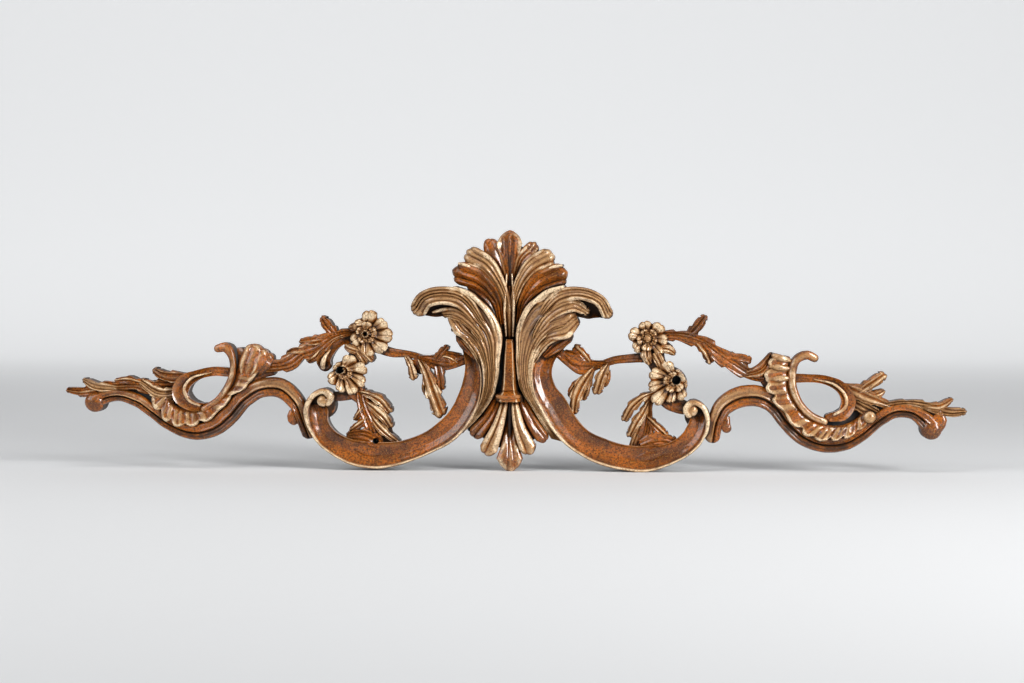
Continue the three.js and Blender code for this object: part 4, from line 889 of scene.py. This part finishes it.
# %% [markdown]
# Strokes that cross can seal a small pocket inside the wood. Only the outer skin is kept: the
# vertices that can be reached from the tip of the left wing. Labels spread along the edges until they
# no longer change.

# %% Keep the outer skin
MERGE_WITHIN = 0.00012


def outer_skin(mesh):
    """Whether each vertex hangs together with the leftmost one."""
    count = len(mesh.vertices)
    ends = np.empty(len(mesh.edges) * 2, np.int64)
    mesh.edges.foreach_get("vertices", ends)
    one, other = ends.reshape(-1, 2).T
    label = np.arange(count)
    changed = True
    while changed:
        lowest = np.minimum(label[one], label[other])
        fresh = label.copy()
        np.minimum.at(fresh, one, lowest)
        np.minimum.at(fresh, other, lowest)
        np.minimum.at(fresh, label[one], lowest)
        np.minimum.at(fresh, label[other], lowest)
        fresh = fresh[fresh]
        changed = bool((fresh != label).any())
        label = fresh
    places = np.empty(count * 3)
    mesh.vertices.foreach_get("co", places)
    tip = places.reshape(-1, 3)[:, 0].argmin()
    return label == label[tip]


kept = outer_skin(joined)
skin = bmesh.new()
skin.from_mesh(joined)
inner = [vertex for vertex, keep in zip(skin.verts, kept) if not keep]
bmesh.ops.delete(skin, geom=inner, context="VERTS")
bmesh.ops.dissolve_degenerate(skin, dist=MERGE_WITHIN, edges=skin.edges)
bmesh.ops.triangulate(skin, faces=skin.faces)
skin.to_mesh(joined)
skin.free()
print("outer skin", len(joined.vertices), "vertices", len(joined.polygons), "triangles,",
      len(inner), "dropped")

# %% [markdown]
# A hand never cuts a perfect sweep. Every point moves a little along a broad and a fine noise, about
# half a millimetre at most. The moves fade out towards the wall, so that the flat back stays flat.

# %% Hand-carved unevenness
WOBBLE = 0.0005
FINE_WOBBLE = 0.0002
BROAD_SCALE = 45
FINE_SCALE = 170
FREE_FROM = 0.006
noise.seed_set(11)
places = np.empty(len(joined.vertices) * 3)
joined.vertices.foreach_get("co", places)
places = places.reshape(-1, 3)
broad = np.array([noise.noise_vector(Vector(p) * BROAD_SCALE) for p in places])
fine = np.array([noise.noise_vector(Vector(p) * FINE_SCALE) for p in places])
wobble = WOBBLE * broad + FINE_WOBBLE * fine
off_the_wall = np.clip(-places[:, 1] / FREE_FROM, 0, 1)[:, None]
places += wobble * off_the_wall
joined.vertices.foreach_set("co", places.ravel())
joined.update()
print("largest move", round(float(np.abs(wobble).max()) * 1000, 2), "mm")

# %% [markdown]
# The relief attribute paints shade, with the dirt held there, into the hollows and paints highlights
# onto the ridges, and it tips the gilding a little towards the proud parts. Hollows and ridges are read
# from the height of each point against the mean height around it, on a coarse map of the front. The
# result is stored on the mesh as the attribute named relief, from -1 in the deepest hollows to 1 on the
# proudest ridges.

# %% Measure hollows and ridges
def relief_of(points, cell, reach_cells, full):
    """How far each point stands out from the mean of its surroundings, as a share of the full height."""
    columns = ((points[:, 0] - points[:, 0].min()) / cell).astype(int) + 3 * reach_cells
    rows = ((points[:, 2] - points[:, 2].min()) / cell).astype(int) + 3 * reach_cells
    shape = (rows.max() + 3 * reach_cells + 1, columns.max() + 3 * reach_cells + 1)
    top = np.full(shape, -1.0)
    np.maximum.at(top, (rows, columns), -points[:, 1])
    filled = (top >= 0).astype(float)
    total = np.where(top >= 0, top, 0)
    weights = np.exp(-0.5 * (np.arange(-2 * reach_cells, 2 * reach_cells + 1) / reach_cells) ** 2)
    for axis in (0, 1):
        total = np.apply_along_axis(np.convolve, axis, total, weights, "same")
        filled = np.apply_along_axis(np.convolve, axis, filled, weights, "same")
    mean = total / np.maximum(filled, 1e-9)
    return np.clip((-points[:, 1] - mean[rows, columns]) / full, -1, 1)


wide = relief_of(places, cell=0.002, reach_cells=4, full=0.012)
close = relief_of(places, cell=0.0012, reach_cells=2, full=0.003)
relief = np.clip(0.4 * wide + 0.75 * close, -1, 1).astype(np.float32)
joined.attributes.new("relief", "FLOAT", "POINT").data.foreach_set("value", relief)
print("relief from", relief.min().round(2), "to", relief.max().round(2))

# %% The headpiece as one piece
SHARP_FROM = math.radians(40)
joined.shade_smooth()
joined.set_sharp_from_angle(angle=SHARP_FROM)
headpiece = bpy.data.objects.new("carved_headpiece", joined)
bpy.context.scene.collection.objects.link(headpiece)
joined.materials.clear()
joined.materials.append(gilt_wood)
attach(headpiece, "root")
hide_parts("headpiece")
for stroke_object in list(strokes.objects) + list(cutters.objects):
    bpy.data.objects.remove(stroke_object)
print("headpiece", [slot.material.name for slot in headpiece.material_slots])

# %% [markdown]
# The finish is layered as the gilder laid it: burnt-orange lacquer over the wood, and gold over the
# lacquer on leaves and edges. Painted shade, with dark wax and dirt, darkens the hollows, and painted
# highlights lighten the ridges. The gilding attribute says where gold was laid, and low gilding makes
# bare dark wood that is painted shade on the walls as well. The relief attribute says where shade and
# highlights are painted, and noise breaks every border. The colours are linear red, green and blue.

# %% Gilding, lacquer and patina
LACQUER_DEEP = (0.11, 0.027, 0.003)
LACQUER_CLEAR = (0.40, 0.102, 0.006)
LACQUER_PITS = (0.045, 0.013, 0.003)
LACQUER_SPECKS = (0.58, 0.25, 0.04)
# Lighter lacquer on the proudest ridges: a painted highlight.
LACQUER_PAINTED_HIGHLIGHT = (0.50, 0.21, 0.05)
# Gold in three tones by the relief: darker in the hollows as painted shade, brighter on the ridges as a
# painted highlight.
GOLD_PAINTED_SHADE = (0.10, 0.038, 0.012)
GOLD_FLANK = (0.46, 0.25, 0.10)
GOLD_PAINTED_HIGHLIGHT = (0.88, 0.68, 0.44)
GOLD_STREAKS = (0.22, 0.085, 0.026)
GOLD_PITS = (0.12, 0.050, 0.018)
# Near black: painted shade in the hollows, together with the dirt they hold.
SHADE_AND_GRIME = (0.026, 0.016, 0.010)
# Dark brown of bare wood, which on walls and low edges is painted shade as well.
BARE_WOOD_AND_SHADE = (0.034, 0.017, 0.009)
PATINA_DARK = (0.010, 0.012, 0.015)
PATINA_PALE = (0.040, 0.049, 0.052)
CRACKS = (0.03, 0.018, 0.012)


def build_finish(material):
    """Fill the material's node tree."""
    material.use_nodes = True
    nodes, links = material.node_tree.nodes, material.node_tree.links
    nodes.clear()

    def add(kind, inputs=None, **settings):
        node = nodes.new(kind)
        for key, value in settings.items():
            setattr(node, key, value)
        for key, value in (inputs or {}).items():
            if isinstance(value, bpy.types.NodeSocket):
                links.new(value, node.inputs[key])
            else:
                node.inputs[key].default_value = value
        return node

    def attribute(name):
        return add("ShaderNodeAttribute", attribute_name=name).outputs["Fac"]

    def ramp(value, from_low, from_high, to_low=0.0, to_high=1.0):
        node = add("ShaderNodeMapRange", {
            "Value": value, "From Min": from_low, "From Max": from_high,
            "To Min": to_low, "To Max": to_high,
        }, interpolation_type="SMOOTHSTEP")
        return node.outputs["Result"]

    def maths(operation, one, other):
        return add("ShaderNodeMath", {0: one, 1: other}, operation=operation).outputs["Value"]

    def blend(share, below, above):
        node = add("ShaderNodeMix", {"Factor": share}, data_type="RGBA")
        for socket, value in ((node.inputs[6], below), (node.inputs[7], above)):
            if isinstance(value, bpy.types.NodeSocket):
                links.new(value, socket)
            else:
                socket.default_value = (*value, 1)
        return node.outputs[2]

    where = add("ShaderNodeTexCoord").outputs["Object"]

    def cloud(scale, detail=3.0, roughness=0.6):
        return add("ShaderNodeTexNoise", {
            "Vector": where, "Scale": scale, "Detail": detail, "Roughness": roughness,
        }).outputs["Fac"]

    gilding = attribute("gilding")
    height = attribute("relief")
    patches = cloud(30, 4)
    grain = cloud(400, 3, 0.7)
    specks = cloud(800, 2, 0.6)
    streaks = cloud(85, 5, 0.7)

    lacquer = blend(ramp(patches, 0.35, 0.62), LACQUER_DEEP, LACQUER_CLEAR)
    lacquer = blend(ramp(grain, 0.45, 0.57, 0, 0.85), lacquer, LACQUER_PITS)
    lacquer = blend(ramp(specks, 0.55, 0.65, 0, 0.5), lacquer, LACQUER_SPECKS)
    # Painted highlight: the lacquer lightens on the proudest ridges.
    lacquer = blend(ramp(height, 0.5, 1.0, 0, 0.3), lacquer, LACQUER_PAINTED_HIGHLIGHT)
    # Painted shade and highlight: gold darkens in the hollows and brightens on the proud ridges, by the
    # relief attribute.
    gold = blend(ramp(height, -0.5, 0.32), GOLD_PAINTED_SHADE, GOLD_FLANK)
    gold = blend(ramp(height, 0.2, 0.8, 0, 0.9), gold, GOLD_PAINTED_HIGHLIGHT)
    gold = blend(ramp(streaks, 0.47, 0.68, 0, 0.6), gold, GOLD_STREAKS)
    gold = blend(ramp(grain, 0.52, 0.64, 0, 0.75), gold, GOLD_PITS)
    ragged = maths("ADD", gilding, maths("MULTIPLY", maths("SUBTRACT", streaks, 0.5), 0.6))
    worn = maths("ADD", ragged, maths("MULTIPLY", height, 0.12))
    gilt_share = ramp(worn, 0.33, 0.60)
    surface = blend(gilt_share, lacquer, gold)

    # Painted shade: hollows, read from the relief attribute and broken by grain, turn near black, standing
    # in for the shade that falls there together with their dirt.
    rough_grain = maths("MULTIPLY", maths("SUBTRACT", grain, 0.5), 0.8)
    depth = maths("ADD", maths("MULTIPLY", height, -1.0), rough_grain)
    painted_hollow_shade = ramp(depth, 0.3, 0.9, 0, 0.92)
    surface = blend(painted_hollow_shade, surface, SHADE_AND_GRIME)
    # Bare dark wood on walls and wherever the gilding is low, painted shade there as well.
    bare_and_shaded = ramp(ragged, -0.04, -0.24, 0, 0.95)
    surface = blend(bare_and_shaded, surface, BARE_WOOD_AND_SHADE)
    patina = blend(ramp(patches, 0.4, 0.6), PATINA_DARK, PATINA_PALE)
    surface = blend(ramp(ragged, -0.36, -0.6, 0, 0.95), surface, patina)

    cells = add("ShaderNodeTexVoronoi", {"Vector": where, "Scale": 210.0}, feature="DISTANCE_TO_EDGE")
    crack = ramp(cells.outputs["Distance"], 0.0, 0.05, 1, 0)
    surface = blend(maths("MULTIPLY", crack, 0.2), surface, CRACKS)

    bump_height = maths("ADD", maths("MULTIPLY", grain, 0.6), maths("MULTIPLY", streaks, 0.8))
    bump_height = maths("SUBTRACT", bump_height, maths("MULTIPLY", crack, 0.2))
    bump = add("ShaderNodeBump", {"Height": bump_height, "Strength": 0.6, "Distance": 0.0007})
    rough = ramp(maths("ADD", grain, maths("MULTIPLY", painted_hollow_shade, 0.4)), 0.3, 0.9, 0.28, 0.6)
    metal = maths("MULTIPLY", gilt_share, 0.2)
    shine_in_hollows = ramp(painted_hollow_shade, 0.1, 0.7, 0.85, 0.1)
    varnish = maths("MULTIPLY", shine_in_hollows, ramp(bare_and_shaded, 0.0, 1.0, 1.0, 0.3))
    shader = add("ShaderNodeBsdfPrincipled", {
        "Base Color": surface, "Roughness": rough, "Metallic": metal, "Normal": bump.outputs["Normal"],
        "Coat Weight": varnish, "Coat Roughness": 0.12, "Coat IOR": 1.5, "Specular IOR Level": 0.2,
    })
    output = add("ShaderNodeOutputMaterial")
    links.new(shader.outputs["BSDF"], output.inputs["Surface"])


build_finish(gilt_wood)
print("finish nodes", len(gilt_wood.node_tree.nodes))

# %% [markdown]
# The stage is a plain pale floor that sweeps up into a wall far behind the piece, so the back can be
# looked at as well. The lights in front don't reach the wall, so the paper there glows faintly by itself,
# as a backdrop does that is lit from behind.

# %% Floor and backdrop
SHEET_FRONT = -6.0
SHEET_HALF_WIDTH = 12.0
SHEET_START = 3.4
SHEET_TOP = 8.0
WALL_LEAN = 0.2
SWEEP = 3.0
GLOW_START = 0.2
GLOW_END = 5.0
WALL_GLOW = 0.54
CLEARANCE = 0.0005
PAPER = (0.74, 0.745, 0.75, 1)
PAPER_GLOW = (0.98, 0.99, 1.0, 1)
floor_level = low[2] - CLEARANCE
bend = np.radians(np.linspace(0, 90, 33))
path = [(SHEET_FRONT, 0.0)]
path += [(SHEET_START + SWEEP * math.sin(a), SWEEP * (1 - math.cos(a))) for a in bend]
path += [(SHEET_START + SWEEP + WALL_LEAN, SHEET_TOP)]
sides = (-SHEET_HALF_WIDTH, SHEET_HALF_WIDTH)
corners = [(side, y, floor_level + z) for y, z in path for side in sides]
quads = [(2 * i, 2 * i + 1, 2 * i + 3, 2 * i + 2) for i in range(len(path) - 1)]
sheet_mesh = bpy.data.meshes.new("backdrop")
sheet_mesh.from_pydata(corners, [], quads)
sheet_mesh.shade_smooth()
paper = bpy.data.materials.new("pale_paper")
paper.use_nodes = True
paper_nodes, paper_links = paper.node_tree.nodes, paper.node_tree.links
paper_shader = paper_nodes["Principled BSDF"]
paper_shader.inputs["Base Color"].default_value = PAPER
paper_shader.inputs["Roughness"].default_value = 0.9
paper_shader.inputs["Specular IOR Level"].default_value = 0.1
paper_shader.inputs["Emission Color"].default_value = PAPER_GLOW
place_on_sheet = paper_nodes.new("ShaderNodeTexCoord")
split = paper_nodes.new("ShaderNodeSeparateXYZ")
glow = paper_nodes.new("ShaderNodeMapRange")
glow.interpolation_type = "SMOOTHSTEP"
for name, value in (("From Min", GLOW_START), ("From Max", GLOW_END), ("To Max", WALL_GLOW)):
    glow.inputs[name].default_value = value
paper_links.new(place_on_sheet.outputs["Object"], split.inputs["Vector"])
paper_links.new(split.outputs["Y"], glow.inputs["Value"])
paper_links.new(glow.outputs["Result"], paper_shader.inputs["Emission Strength"])
sheet_mesh.materials.append(paper)
backdrop = bpy.data.objects.new("backdrop", sheet_mesh)
bpy.context.scene.collection.objects.link(backdrop)
print("floor at", round(floor_level, 4))

# %% [markdown]
# A tall light at the right is the main one. It reaches from near the floor to well above the piece, so
# that the coves shine along their length. A larger and weaker one at the left opens the shadows, and a
# weak one overhead lightens the floor.

# %% Lights
SPREAD = math.radians(110)
SKY = (0.95, 0.97, 1.0, 1)
SKY_STRENGTH = 0.17


def softbox(name, place, size, watts):
    """A rectangular light that faces the middle of the view."""
    data = bpy.data.lights.new(name, "AREA")
    data.shape = "RECTANGLE"
    data.size, data.size_y = size
    data.energy = watts
    data.spread = SPREAD
    lamp = bpy.data.objects.new(name, data)
    lamp.location = place
    lamp.rotation_euler = (VIEW_TARGET - Vector(place)).to_track_quat("-Z", "Y").to_euler()
    bpy.context.scene.collection.objects.link(lamp)


softbox("tall_right", (2.47, -2.07, 1.0), (0.8, 2.0), 46)
softbox("wide_left", (-2.6, -2.07, 1.55), (2.6, 2.3), 29)
softbox("overhead", (0.0, -0.9, 3.4), (3.1, 1.6), 12)
world = bpy.context.scene.world or bpy.data.worlds.new("world")
bpy.context.scene.world = world
world.use_nodes = True
sky = world.node_tree.nodes["Background"]
sky.inputs["Color"].default_value = SKY
sky.inputs["Strength"].default_value = SKY_STRENGTH
bpy.context.scene.view_settings.view_transform = "Standard"
